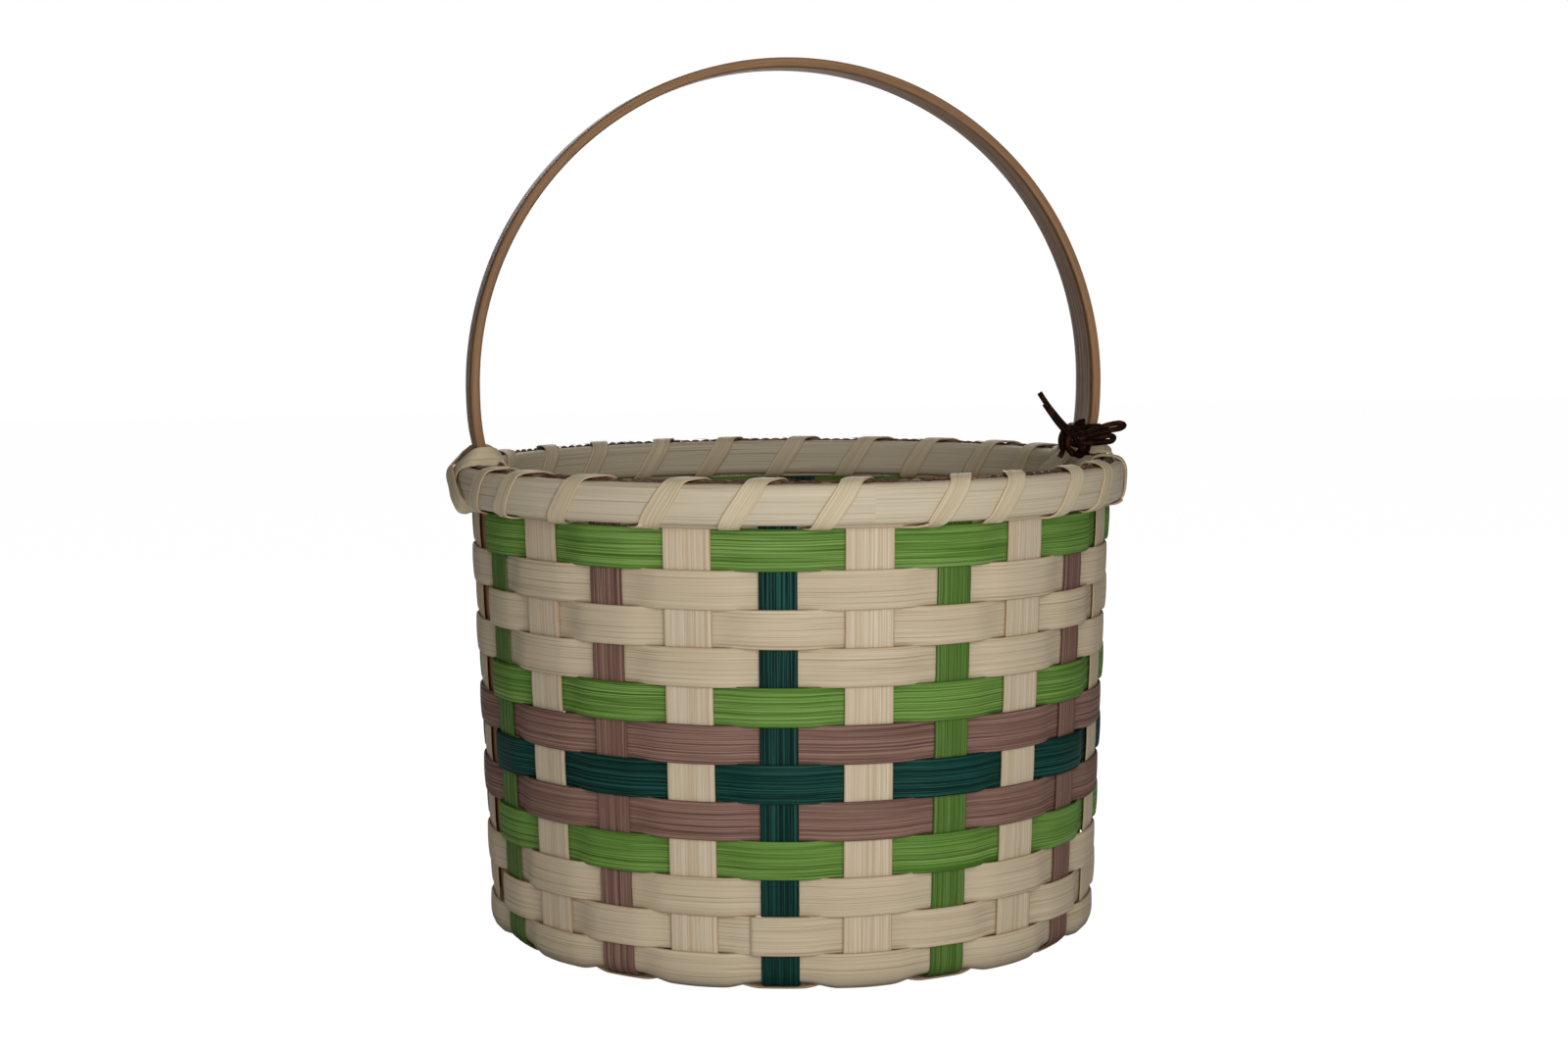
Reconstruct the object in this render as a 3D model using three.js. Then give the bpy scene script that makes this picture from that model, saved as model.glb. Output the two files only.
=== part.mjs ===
// Round basket woven from flat reed, with a bent oak handle, a double rim lashed with reed and a bow
// of waxed cord tied round the foot of the handle. Millimetres, +Z up. The origin is on the floor
// under the middle of the base, and the handle stands in the XZ plane. Angles go round the Z axis
// from -Y towards +X.
import * as THREE from "three";

// Thickness of the flat reed, and the clearance between strips that lie on each other.
const STAKE_THICK = 1.0;
const WEAVER_THICK = 1.0;
const CLEARANCE = 0.3;

// The bowl: the middle surface of the stakes, out from the middle of the base and up the wall.
const FOOT_RADIUS = 111.3;
const CORNER_RADIUS = 11.5;
const CORNER_STEPS = 3;
const WALL_FLARE_DEG = 2.1;

// Stakes: natural spokes cross under the base and turn up at both ends, and a dyed stake is added
// in each gap between them. Where the spokes cross they are pared narrow and thin.
const SPOKE_COUNT = 6;
const NATURAL_WIDTH = 16.6;
const NATURAL_WAIST = 10.0;
const CROSSING_WIDTH = 8.0;
const CROSSING_THICK = 0.6;
const CROSSING_ROOM = 0.5;
const CROSSING_TAPER = 7.7;
const DYED_WIDTH = 12.7;
const DYED_TIP_WIDTH = 4.4;
const DYED_TUCK = 1.1;
const STAKE_TAPER = 31.2;

// Wall rows: each one's dye, and the number of the stake where its two ends lap, from the top down.
// The first lies between the rims. All laps but one are on the side away from the front.
const WALL_ROWS = [
  { dye: "natural", lap: 5 },
  { dye: "lime", lap: 16 },
  { dye: "natural", lap: 9 },
  { dye: "natural", lap: 12 },
  { dye: "natural", lap: 13 },
  { dye: "lime", lap: 8 },
  { dye: "mauve", lap: 11 },
  { dye: "green", lap: 14 },
  { dye: "mauve", lap: 7 },
  { dye: "lime", lap: 10 },
  { dye: "natural", lap: 15 },
  { dye: "natural", lap: 23 },
  { dye: "natural", lap: 9 },
];
const ROW_WIDTH = 12.6;
const LOWEST_ROW_DROP = 12.2;
const STAKE_MARGIN = 1.0;

// Base rows: one at the corner, wide ones inside it, then narrow ones, and last a few round the
// spokes alone, as many as fit outside the crossing.
const FOOT_ROW_WIDTH = 9.5;
const WIDE_BASE_ROWS = 4;
const NARROW_BASE_ROWS = 2;
const NARROW_ROW_WIDTH = 6.4;
const BASE_MARGIN = 0.5;
const CORE_ROOM = 2;
const BASE_LAP_START = 2;
const BASE_LAP_STEP = 5;

// Rims: two bands of flat-oval reed, and a filler cord laid on the stake tops between them.
const RIM_HEIGHT = 13.6;
const RIM_GAP = 2.5;
const OUTER_RIM_THICK = 4.0;
const INNER_RIM_THICK = 3.4;
const OUTER_RIM_SLACK = 0.5;
const RIM_SIDES = 60;
const SWELL_EDGE = 1.5;
const SWELL_FADE = 15;
const FILLER_DIAMETER = 4.3;
const FILLER_PROUD = 0.8;
const FILLER_END_ROOM = 1.5;
const FILLER_SIDES = 6;
const FILLER_STEPS = 30;

// Handle: one bent strap of oak. Its two tails go down inside the wall, each behind a stake.
const HANDLE_WIDTH = 18;
const HANDLE_THICK = 3.8;
const HANDLE_TIP_THICK = 2.2;
const HANDLE_CHAMFER = 0.8;
const HANDLE_SPREAD = 2.7;
const HANDLE_TIP_HEIGHT = 17;
const SHOULDER_RISE = 27.8;
const ARCH_STEPS = 26;
const SHOULDER_STEPS = 5;
const LEG_STEPS = 3;

// Lashing: a strip wound round both rims, one turn in each gap between stakes.
const LASH_WIDTH = 6.8;
const LASH_THICK = 0.9;
const LASH_SHIFT = 3.3;
const LASH_SLACK_OUTSIDE = 0.6;
const LASH_SLACK_INSIDE = 1.0;
const LASH_SLACK_TOP = 0.65;
const LASH_UNDER_SHARE = 0.62;
const LEAST_GAP = 0.4;

// Bow: waxed cord.
const BOW_CORD = 2.0;
const BOW_RISE = 9.8;
const BOW_TURNS = 2;
const BOW_TURN_STEPS = 24;
const BOW_ROUNDING = 0.5;
const CORD_SIDES = 6;

const STAKE_COUNT = 4 * SPOKE_COUNT;
const PITCH = (2 * Math.PI) / STAKE_COUNT;
const HANDLE_ANGLE = Math.PI / 2;
const FLARE = THREE.MathUtils.degToRad(WALL_FLARE_DEG);
const BASE_MIDDLE = WEAVER_THICK + CLEARANCE + STAKE_THICK / 2;
const LAYER = STAKE_THICK / 2 + CLEARANCE + WEAVER_THICK / 2;
const ROW_PITCH = ROW_WIDTH + CLEARANCE;
const TINY = 1e-6;

const finishes = {
  natural: new THREE.MeshStandardMaterial({ color: 0xcbb992, roughness: 0.7, metalness: 0 }),
  lime: new THREE.MeshStandardMaterial({ color: 0x5f9a32, roughness: 0.65, metalness: 0 }),
  mauve: new THREE.MeshStandardMaterial({ color: 0x87665a, roughness: 0.7, metalness: 0 }),
  green: new THREE.MeshStandardMaterial({ color: 0x103c34, roughness: 0.65, metalness: 0 }),
  oak: new THREE.MeshStandardMaterial({ color: 0x9a6a42, roughness: 0.5, metalness: 0 }),
  seagrass: new THREE.MeshStandardMaterial({ color: 0x84604a, roughness: 0.85, metalness: 0 }),
  waxed: new THREE.MeshStandardMaterial({ color: 0x1e0d05, roughness: 0.45, metalness: 0 }),
};
const basket = new THREE.Group();

function add(name, geometry, finish) {
  const mesh = new THREE.Mesh(geometry, finishes[finish]);
  mesh.name = name;
  basket.add(mesh);
}

// The middle surface as a profile of points (radius, height): flat base, rounded corner, flared wall.
// Places on it are given by their distance along it from the middle of the base.
const profile = [new THREE.Vector2(0, BASE_MIDDLE)];
for (let step = 0; step <= CORNER_STEPS; step += 1) {
  const turn = -Math.PI / 2 + ((Math.PI / 2 - FLARE) * step) / CORNER_STEPS;
  profile.push(new THREE.Vector2(
    FOOT_RADIUS - CORNER_RADIUS + CORNER_RADIUS * Math.cos(turn),
    BASE_MIDDLE + CORNER_RADIUS * (1 + Math.sin(turn)),
  ));
}
const reach = [0];
for (let i = 1; i < profile.length; i += 1) {
  reach.push(reach[i - 1] + profile[i].distanceTo(profile[i - 1]));
}

// Distances of the wall foot, the rows and the rims. The narrow row between the rims fills the
// height that the filler cord leaves.
const RIM_ROW_WIDTH = RIM_HEIGHT + FILLER_PROUD - FILLER_DIAMETER - 2 * CLEARANCE;
const WALL_FOOT = reach[reach.length - 1];
const ROWS_BOTTOM = WALL_FOOT - LOWEST_ROW_DROP;
const ROWS_TOP = ROWS_BOTTOM + (WALL_ROWS.length - 1) * ROW_PITCH - CLEARANCE;
const RIM_MIDDLE = ROWS_TOP + RIM_GAP + RIM_HEIGHT / 2;
const RIM_TOP = RIM_MIDDLE + RIM_HEIGHT / 2;
const WALL_TOP = ROWS_TOP + RIM_GAP + RIM_ROW_WIDTH + CLEARANCE;
const corners = reach.slice(1);
const foot = profile[profile.length - 1];
const wallLength = WALL_TOP - WALL_FOOT;
profile.push(new THREE.Vector2(
  foot.x + wallLength * Math.sin(FLARE), foot.y + wallLength * Math.cos(FLARE)));
reach.push(WALL_TOP);

function segmentNormal(i) {
  const run = profile[i + 1].clone().sub(profile[i]).normalize();
  return new THREE.Vector2(run.y, -run.x);
}

// The point and outward normal at a distance along the profile. Joints between segments are mitred.
function along(distance) {
  const lastSegment = profile.length - 2;
  let i = 0;
  while (i < lastSegment && distance > reach[i + 1] + TINY) {
    i += 1;
  }
  const share = (distance - reach[i]) / (reach[i + 1] - reach[i]);
  const point = profile[i].clone().lerp(profile[i + 1], share);
  const normal = segmentNormal(i);
  if (i < lastSegment && Math.abs(distance - reach[i + 1]) < TINY) {
    const next = segmentNormal(i + 1);
    const mitre = 1 + normal.dot(next);
    normal.add(next).divideScalar(mitre);
  }
  return { point, normal };
}

// A point of the bowl: at an angle, a distance along the profile, outwards by depth, sideways by side.
function place(angle, distance, depth, side = 0) {
  const { point, normal } = along(distance);
  const radius = point.x + depth * normal.x;
  return new THREE.Vector3(
    radius * Math.sin(angle) + side * Math.cos(angle),
    -radius * Math.cos(angle) + side * Math.sin(angle),
    point.y + depth * normal.y,
  );
}

function signedVolume(positions, index) {
  const a = new THREE.Vector3();
  const b = new THREE.Vector3();
  const c = new THREE.Vector3();
  let sum = 0;
  for (let i = 0; i < index.length; i += 3) {
    a.fromArray(positions, 3 * index[i]);
    b.fromArray(positions, 3 * index[i + 1]);
    c.fromArray(positions, 3 * index[i + 2]);
    sum += a.dot(b.cross(c)) / 6;
  }
  return sum;
}

// A closed body through sections that each have the same even number of points, listed round the
// section so that point i faces point (count - 1 - i). A ring joins its last section to its first.
function loft(sections, ring = false) {
  const count = sections[0].length;
  const positions = sections.flat().flatMap((p) => [p.x, p.y, p.z]);
  const index = [];
  const quad = (a, b, c, d) => index.push(a, b, c, a, c, d);
  const spans = ring ? sections.length : sections.length - 1;
  for (let i = 0; i < spans; i += 1) {
    const here = i * count;
    const next = ((i + 1) % sections.length) * count;
    for (let k = 0; k < count; k += 1) {
      const l = (k + 1) % count;
      quad(here + k, here + l, next + l, next + k);
    }
  }
  if (!ring) {
    const last = (sections.length - 1) * count;
    for (let k = 0; k < count / 2 - 1; k += 1) {
      quad(k, count - 1 - k, count - 2 - k, k + 1);
      quad(last + k, last + k + 1, last + count - 2 - k, last + count - 1 - k);
    }
  }
  if (signedVolume(positions, index) < 0) {
    index.reverse();
  }
  const geometry = new THREE.BufferGeometry();
  geometry.setAttribute("position", new THREE.Float32BufferAttribute(positions, 3));
  geometry.setIndex(index);
  geometry.computeVertexNormals();
  return geometry;
}

function mix(a, b, share) {
  return a + (b - a) * Math.min(1, Math.max(0, share));
}

// The least distance between points that lie more than a number of places apart in a list of
// groups of points. The first point of each group says whether two groups are near at all.
function leastGap(groups, apart, near) {
  let least = Infinity;
  for (let i = 0; i < groups.length; i += 1) {
    for (let j = i + apart; j < groups.length; j += 1) {
      if (groups[i][0].distanceTo(groups[j][0]) < near) {
        groups[i].forEach((p) => groups[j].forEach((q) => {
          least = Math.min(least, p.distanceTo(q));
        }));
      }
    }
  }
  return least;
}

function printGap(name, gap) {
  console.log(`${name}: least gap to itself ${gap.toFixed(2)} mm, wanted over ${LEAST_GAP}`);
}

// Base rows from the corner in, the radius where the dyed stakes begin under the last row that
// holds them, and the radii between which the spokes are pared for their crossing.
const baseWidths = [
  ...Array(1 + WIDE_BASE_ROWS).fill(FOOT_ROW_WIDTH),
  ...Array(NARROW_BASE_ROWS).fill(NARROW_ROW_WIDTH),
];
const BASE_START = ROWS_BOTTOM - CLEARANCE;
const CORE_START = baseWidths.reduce((edge, width) => edge - width - CLEARANCE, BASE_START);
const DYED_START = CORE_START + CLEARANCE + DYED_TUCK;
const FULL_WIDTH = DYED_START + STAKE_TAPER;
const PARED = (CROSSING_WIDTH / 2 + CROSSING_ROOM) / Math.tan(PITCH);
const UNPARED = PARED + CROSSING_TAPER;
const CORE_ROWS = Math.max(0, Math.floor(
  (CORE_START - UNPARED - CORE_ROOM) / (NARROW_ROW_WIDTH + CLEARANCE)));

// Half the width of a stake at a distance from the middle of the base.
function naturalHalf(distance) {
  const waist = mix(CROSSING_WIDTH, NATURAL_WAIST, (distance - PARED) / (DYED_START - PARED));
  return mix(waist, NATURAL_WIDTH, (distance - DYED_START) / STAKE_TAPER) / 2;
}

function dyedHalf(distance) {
  return mix(DYED_TIP_WIDTH, DYED_WIDTH, (distance - DYED_START) / STAKE_TAPER) / 2;
}

// A tail of the handle lies inside its stake, and gets thinner from the rim down to its tip.
const TAIL_OUTSIDE = STAKE_THICK / 2 + CLEARANCE;
const TAIL_BOTTOM = WALL_FOOT + (HANDLE_TIP_HEIGHT - foot.y) / Math.cos(FLARE);

function tailThick(distance) {
  return mix(HANDLE_TIP_THICK, HANDLE_THICK, (distance - TAIL_BOTTOM) / (WALL_TOP - TAIL_BOTTOM));
}

// Natural stakes have even numbers, dyed ones odd. Number 0 stands at the front.
const stakes = [];
for (let i = 0; i < STAKE_COUNT; i += 1) {
  const natural = i % 2 === 0;
  stakes.push({
    angle: i * PITCH,
    natural,
    half: natural ? naturalHalf : dyedHalf,
    carriesHandle: i % (STAKE_COUNT / 2) === STAKE_COUNT / 4,
  });
}

// The four corners of a flat strip's section across the profile.
function stakeSection(angle, distance, depth, thick, half) {
  return [
    place(angle, distance, depth + thick / 2, -half),
    place(angle, distance, depth + thick / 2, half),
    place(angle, distance, depth - thick / 2, half),
    place(angle, distance, depth - thick / 2, -half),
  ];
}

// A spoke runs from rim to rim. Where all spokes cross, each lies in its own layer.
function spoke(number) {
  const layer = CROSSING_THICK / 2 + CLEARANCE + number * (CROSSING_THICK + CLEARANCE);
  const stops = [WALL_TOP, ...corners.slice().reverse(), FULL_WIDTH, DYED_START, UNPARED, PARED];
  const section = (angle, distance, turn) => {
    const pared = mix(1, 0, (distance - PARED) / CROSSING_TAPER);
    const depth = pared * (BASE_MIDDLE - layer);
    const thick = mix(STAKE_THICK, CROSSING_THICK, pared);
    return stakeSection(angle, distance, depth, thick, naturalHalf(distance) * turn);
  };
  const angle = number * 2 * PITCH;
  const near = stops.map((distance) => section(angle, distance, 1));
  const far = stops.map((distance) => section(angle + Math.PI, distance, -1)).reverse();
  return loft([...near, ...far]);
}

function dyedStake(angle) {
  const stops = [WALL_TOP, ...corners.slice().reverse(), FULL_WIDTH, DYED_START];
  return loft(stops.map((distance) => (
    stakeSection(angle, distance, 0, STAKE_THICK, dyedHalf(distance)))));
}

for (let i = 0; i < SPOKE_COUNT; i += 1) {
  add(`natural_spoke_${i + 1}`, spoke(i), "natural");
}
const dyes = ["lime", "mauve", "green"];
for (let i = 0; i < STAKE_COUNT / 2; i += 1) {
  const dye = dyes[i % dyes.length];
  const number = Math.floor(i / dyes.length) + 1;
  add(`${dye}_stake_${number}`, dyedStake((2 * i + 1) * PITCH), dye);
}

// One row: a strip that goes in front of one stake and behind the next, all the way round. Its two
// ends are pared to about half their thickness and lie on each other at one stake.
function weaver(posts, lower, upper, outsideAt, lapPost, margin) {
  const bends = corners.filter((d) => d > lower + CLEARANCE && d < upper - CLEARANCE);
  const stops = [lower, ...bends, upper];
  const section = (post, edge, outer, inner) => {
    const outside = outsideAt(post);
    const overTail = post.carriesHandle && !outside && upper > TAIL_BOTTOM;
    const depth = outside ? LAYER : -LAYER - (overTail ? tailThick(upper) + CLEARANCE : 0);
    const side = (distance) => edge * (margin + (overTail && distance > TAIL_BOTTOM
      ? HANDLE_WIDTH / 2 : post.half(distance)));
    return [
      ...stops.map((d) => place(post.angle, d, depth + outer, side(d))),
      ...stops.slice().reverse().map((d) => place(post.angle, d, depth + inner, side(d))),
    ];
  };
  const face = WEAVER_THICK / 2;
  const seam = CLEARANCE / 2;
  const sections = [];
  for (let i = 0; i <= posts.length; i += 1) {
    const post = posts[(lapPost + i) % posts.length];
    const outer = i === posts.length ? -seam : face;
    const inner = i === 0 ? seam : -face;
    sections.push(section(post, -1, outer, inner));
    sections.push(section(post, 1, outer, inner));
  }
  return loft(sections);
}

// Odd rows go outside the dyed stakes and even rows outside the natural ones.
function rowOutside(row) {
  return (post) => post.natural === (row % 2 === 0);
}

WALL_ROWS.forEach(({ dye, lap }, row) => {
  const upper = row === 0 ? WALL_TOP - CLEARANCE : ROWS_TOP - (row - 1) * ROW_PITCH;
  const lower = upper - (row === 0 ? RIM_ROW_WIDTH : ROW_WIDTH);
  const geometry = weaver(stakes, lower, upper, rowOutside(row), lap % STAKE_COUNT, STAKE_MARGIN);
  add(`wall_row_${String(row).padStart(2, "0")}`, geometry, dye);
});

const spokesOnly = stakes.filter((post) => post.natural);
const baseRows = [
  ...baseWidths.map((width) => ({ width, posts: stakes })),
  ...Array(CORE_ROWS).fill({ width: NARROW_ROW_WIDTH, posts: spokesOnly }),
];
let baseEdge = BASE_START;
baseRows.forEach(({ width, posts }, i) => {
  const lower = baseEdge - width;
  const outside = posts === stakes
    ? rowOutside(WALL_ROWS.length + i)
    : (post) => Math.round(post.angle / (2 * PITCH)) % 2 === i % 2;
  const margin = lower > FULL_WIDTH ? STAKE_MARGIN : BASE_MARGIN;
  const lap = (BASE_LAP_START + BASE_LAP_STEP * i) % posts.length;
  const name = i === 0 ? "foot_row" : `base_row_${i}`;
  add(name, weaver(posts, lower, baseEdge, outside, lap, margin), "natural");
  baseEdge = lower - CLEARANCE;
});

// Rims. INNER_RIM_FACE and OUTER_RIM_FACE are the distances of their flat sides from the stakes'
// middle surface, and LASH_ARM is the radius at which runs along the rim are measured.
const INNER_RIM_FACE = LAYER + WEAVER_THICK / 2 + CLEARANCE;
const OUTER_RIM_FACE = INNER_RIM_FACE + OUTER_RIM_SLACK;
const HANDLE_INSIDE = TAIL_OUTSIDE + HANDLE_THICK + CLEARANCE;
const LASH_ARM = along(RIM_MIDDLE).point.x + OUTER_RIM_FACE;

// How far the inner rim is pushed in by a handle tail, from full over the tail to none beside it.
function swell(angle) {
  const away = Math.asin(Math.abs(Math.cos(angle))) * LASH_ARM;
  const share = mix(0, 1, (away - HANDLE_WIDTH / 2 - SWELL_EDGE) / SWELL_FADE);
  return ((HANDLE_INSIDE - INNER_RIM_FACE) * (1 + Math.cos(Math.PI * share))) / 2;
}

// Flat-oval reed: flat towards the wall, rounded away from it. The shape is in shares of the
// thickness and of half the height, from the flat side out.
const ovalShape = [[0, 0.96], [0.4, 1], [0.84, 0.78], [1, 0.32]];

function rim(face, thick, direction) {
  const half = ovalShape.map(([depth, height]) => [depth * thick, (height * RIM_HEIGHT) / 2]);
  const outline = [...half, ...half.map(([depth, height]) => [depth, -height]).reverse()];
  const sections = [];
  for (let i = 0; i < RIM_SIDES; i += 1) {
    const angle = (2 * Math.PI * i) / RIM_SIDES;
    const push = direction < 0 ? swell(angle) : 0;
    sections.push(outline.map(([depth, height]) => (
      place(angle, RIM_MIDDLE + height, direction * (face + push + depth)))));
  }
  return loft(sections, true);
}

add("outer_rim", rim(OUTER_RIM_FACE, OUTER_RIM_THICK, 1), "natural");
add("inner_rim", rim(INNER_RIM_FACE, INNER_RIM_THICK, -1), "natural");

// The filler cord is in two lengths that stop beside the handle.
function filler(middleAngle) {
  const depth = (OUTER_RIM_FACE - INNER_RIM_FACE) / 2;
  const height = WALL_TOP + CLEARANCE + FILLER_DIAMETER / 2;
  const end = (HANDLE_WIDTH / 2 + LASH_THICK + 3 * CLEARANCE + FILLER_END_ROOM) / LASH_ARM;
  const span = Math.PI - 2 * end;
  const sections = [];
  for (let i = 0; i <= FILLER_STEPS; i += 1) {
    const angle = middleAngle - span / 2 + (span * i) / FILLER_STEPS;
    const ring = [];
    for (let k = 0; k < FILLER_SIDES; k += 1) {
      const turn = (2 * Math.PI * (k + 0.5)) / FILLER_SIDES;
      ring.push(place(angle, height + (FILLER_DIAMETER / 2) * Math.sin(turn),
        depth + (FILLER_DIAMETER / 2) * Math.cos(turn)));
    }
    sections.push(ring);
  }
  return loft(sections);
}

add("rim_filler_front", filler(0), "seagrass");
add("rim_filler_back", filler(Math.PI), "seagrass");

// Handle: half the path of the middle of its thickness in the XZ plane, from the tip of a tail to
// the top, with its lean from upright and the thickness. Past the rim a shoulder eases the leg
// outwards into a half circle.
const legTop = place(HANDLE_ANGLE, RIM_TOP, -TAIL_OUTSIDE - HANDLE_THICK / 2);
const ARCH_RADIUS = legTop.x + HANDLE_SPREAD;
const SPRING_HEIGHT = legTop.z + SHOULDER_RISE;

function handleHalf() {
  const path = [];
  for (let i = 0; i <= LEG_STEPS; i += 1) {
    const distance = mix(TAIL_BOTTOM, RIM_TOP, i / LEG_STEPS);
    const thick = tailThick(distance);
    const middle = place(HANDLE_ANGLE, distance, -TAIL_OUTSIDE - thick / 2);
    path.push({ x: middle.x, z: middle.z, lean: FLARE, thick });
  }
  const lower = SHOULDER_RISE / 3;
  const shoulder = new THREE.CubicBezierCurve(
    new THREE.Vector2(legTop.x, legTop.z),
    new THREE.Vector2(legTop.x + lower * Math.sin(FLARE), legTop.z + lower * Math.cos(FLARE)),
    new THREE.Vector2(ARCH_RADIUS, SPRING_HEIGHT - 2 * lower),
    new THREE.Vector2(ARCH_RADIUS, SPRING_HEIGHT),
  );
  for (let i = 1; i < SHOULDER_STEPS; i += 1) {
    const point = shoulder.getPoint(i / SHOULDER_STEPS);
    const run = shoulder.getTangent(i / SHOULDER_STEPS);
    path.push({ x: point.x, z: point.y, lean: Math.atan2(run.x, run.y), thick: HANDLE_THICK });
  }
  for (let i = 0; i <= ARCH_STEPS / 2; i += 1) {
    const turn = (Math.PI * i) / ARCH_STEPS;
    path.push({
      x: ARCH_RADIUS * Math.cos(turn),
      z: SPRING_HEIGHT + ARCH_RADIUS * Math.sin(turn),
      lean: -turn,
      thick: HANDLE_THICK,
    });
  }
  return path;
}

const rightHalf = handleHalf();

function handle() {
  const section = ({ x, z, lean, thick }, outward) => {
    const half = HANDLE_WIDTH / 2;
    const edge = half - HANDLE_CHAMFER;
    const face = thick / 2 - HANDLE_CHAMFER;
    const outline = [[thick / 2, edge], [face, half], [-face, half], [-thick / 2, edge],
      [-thick / 2, -edge], [-face, -half], [face, -half], [thick / 2, -edge]];
    return outline.map(([out, y]) => new THREE.Vector3(
      outward * (x + out * Math.cos(lean)), y, z - out * Math.sin(lean)));
  };
  const right = rightHalf.map((stop) => section(stop, 1));
  const left = rightHalf.slice(0, -1).reverse().map((stop) => section(stop, -1));
  return loft([...right, ...left]);
}

add("oak_handle", handle(), "oak");

// Lashing. A station of the strip has an angle, a depth, a height above the rims' middle, and the
// direction that its face looks: round the rim, outwards and up.
const LASH_OUTSIDE = OUTER_RIM_FACE + OUTER_RIM_THICK + LASH_THICK / 2 + LASH_SLACK_OUTSIDE;
const LASH_INSIDE = INNER_RIM_FACE + INNER_RIM_THICK + LASH_THICK / 2 + LASH_SLACK_INSIDE;
const LASH_UNDER = -RIM_HEIGHT / 2 - LASH_UNDER_SHARE * RIM_GAP;
const LASH_OVER = RIM_HEIGHT / 2 + FILLER_PROUD + LASH_THICK / 2 + LASH_SLACK_TOP;
const GAP_RUN = PITCH * LASH_ARM;
const TURN_START = -60;
const TURN_STEP = 30;
const TURN_ROUNDING = 0.54;

// A circle's cosine or sine, pushed out so that the circle becomes a rounded box.
function rounded(value, power) {
  return Math.sign(value) * Math.abs(value) ** power;
}

// The four sides of a turn: the angle in degrees where each ends, the shares of a gap that the strip
// has moved along the rim by at its start and end, and how far along the side a station is, from -1
// to 1, so that the strip lies straight on each side.
const CORNER_ACROSS = rounded(0.5, TURN_ROUNDING);
const CORNER_UP = rounded(Math.sqrt(0.75), TURN_ROUNDING);
const turnSides = [
  { end: 60, runs: [0, 0.306], along: (across, up) => up / CORNER_UP },
  { end: 120, runs: [0.306, 0.49], along: (across) => -across / CORNER_ACROSS },
  { end: 240, runs: [0.49, 0.828], along: (across, up) => -up / CORNER_UP },
  { end: TURN_START + 360, runs: [0.828, 1], along: (across) => across / CORNER_ACROSS },
];

// A turn follows a rounded box round both rims, from under the outer one up and over. It starts
// LASH_SHIFT beyond the middle of its gap.
function turnStation(gapAngle, shift, degrees) {
  const turn = THREE.MathUtils.degToRad(degrees);
  const across = rounded(Math.cos(turn), TURN_ROUNDING);
  const up = rounded(Math.sin(turn), TURN_ROUNDING);
  const { runs, along: progress } = turnSides.find(({ end }) => degrees < end);
  const run = LASH_SHIFT + GAP_RUN * mix(runs[0], runs[1], (1 + progress(across, up)) / 2);
  const left = 1 - (degrees - TURN_START) / 360;
  const angle = gapAngle + (run + shift * left) / LASH_ARM;
  const edge = LASH_WIDTH / 2 / LASH_ARM;
  const push = Math.max(0, -across) * Math.max(swell(angle - edge), swell(angle + edge));
  return {
    angle,
    depth: (LASH_OUTSIDE - LASH_INSIDE + across * (LASH_OUTSIDE + LASH_INSIDE)) / 2 - push,
    height: (LASH_OVER + LASH_UNDER + up * (LASH_OVER - LASH_UNDER)) / 2,
    facing: [0, across * Math.abs(across), up * Math.abs(up)],
  };
}

// Runs along the rim, from the middle of the leg: the strip laid against the leg's edge, its lane
// beside the leg, the next lane, and the first whole turn after that.
const AT_EDGE = HANDLE_WIDTH / 2 + 3 * CLEARANCE + LASH_THICK;
const LANE = HANDLE_WIDTH / 2 + 2.7 * CLEARANCE + LASH_WIDTH / 2;
const NEXT_LANE = LANE + LASH_WIDTH + 3 * CLEARANCE;
const FIRST_TURN = NEXT_LANE + 2.2 * CLEARANCE;

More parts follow.
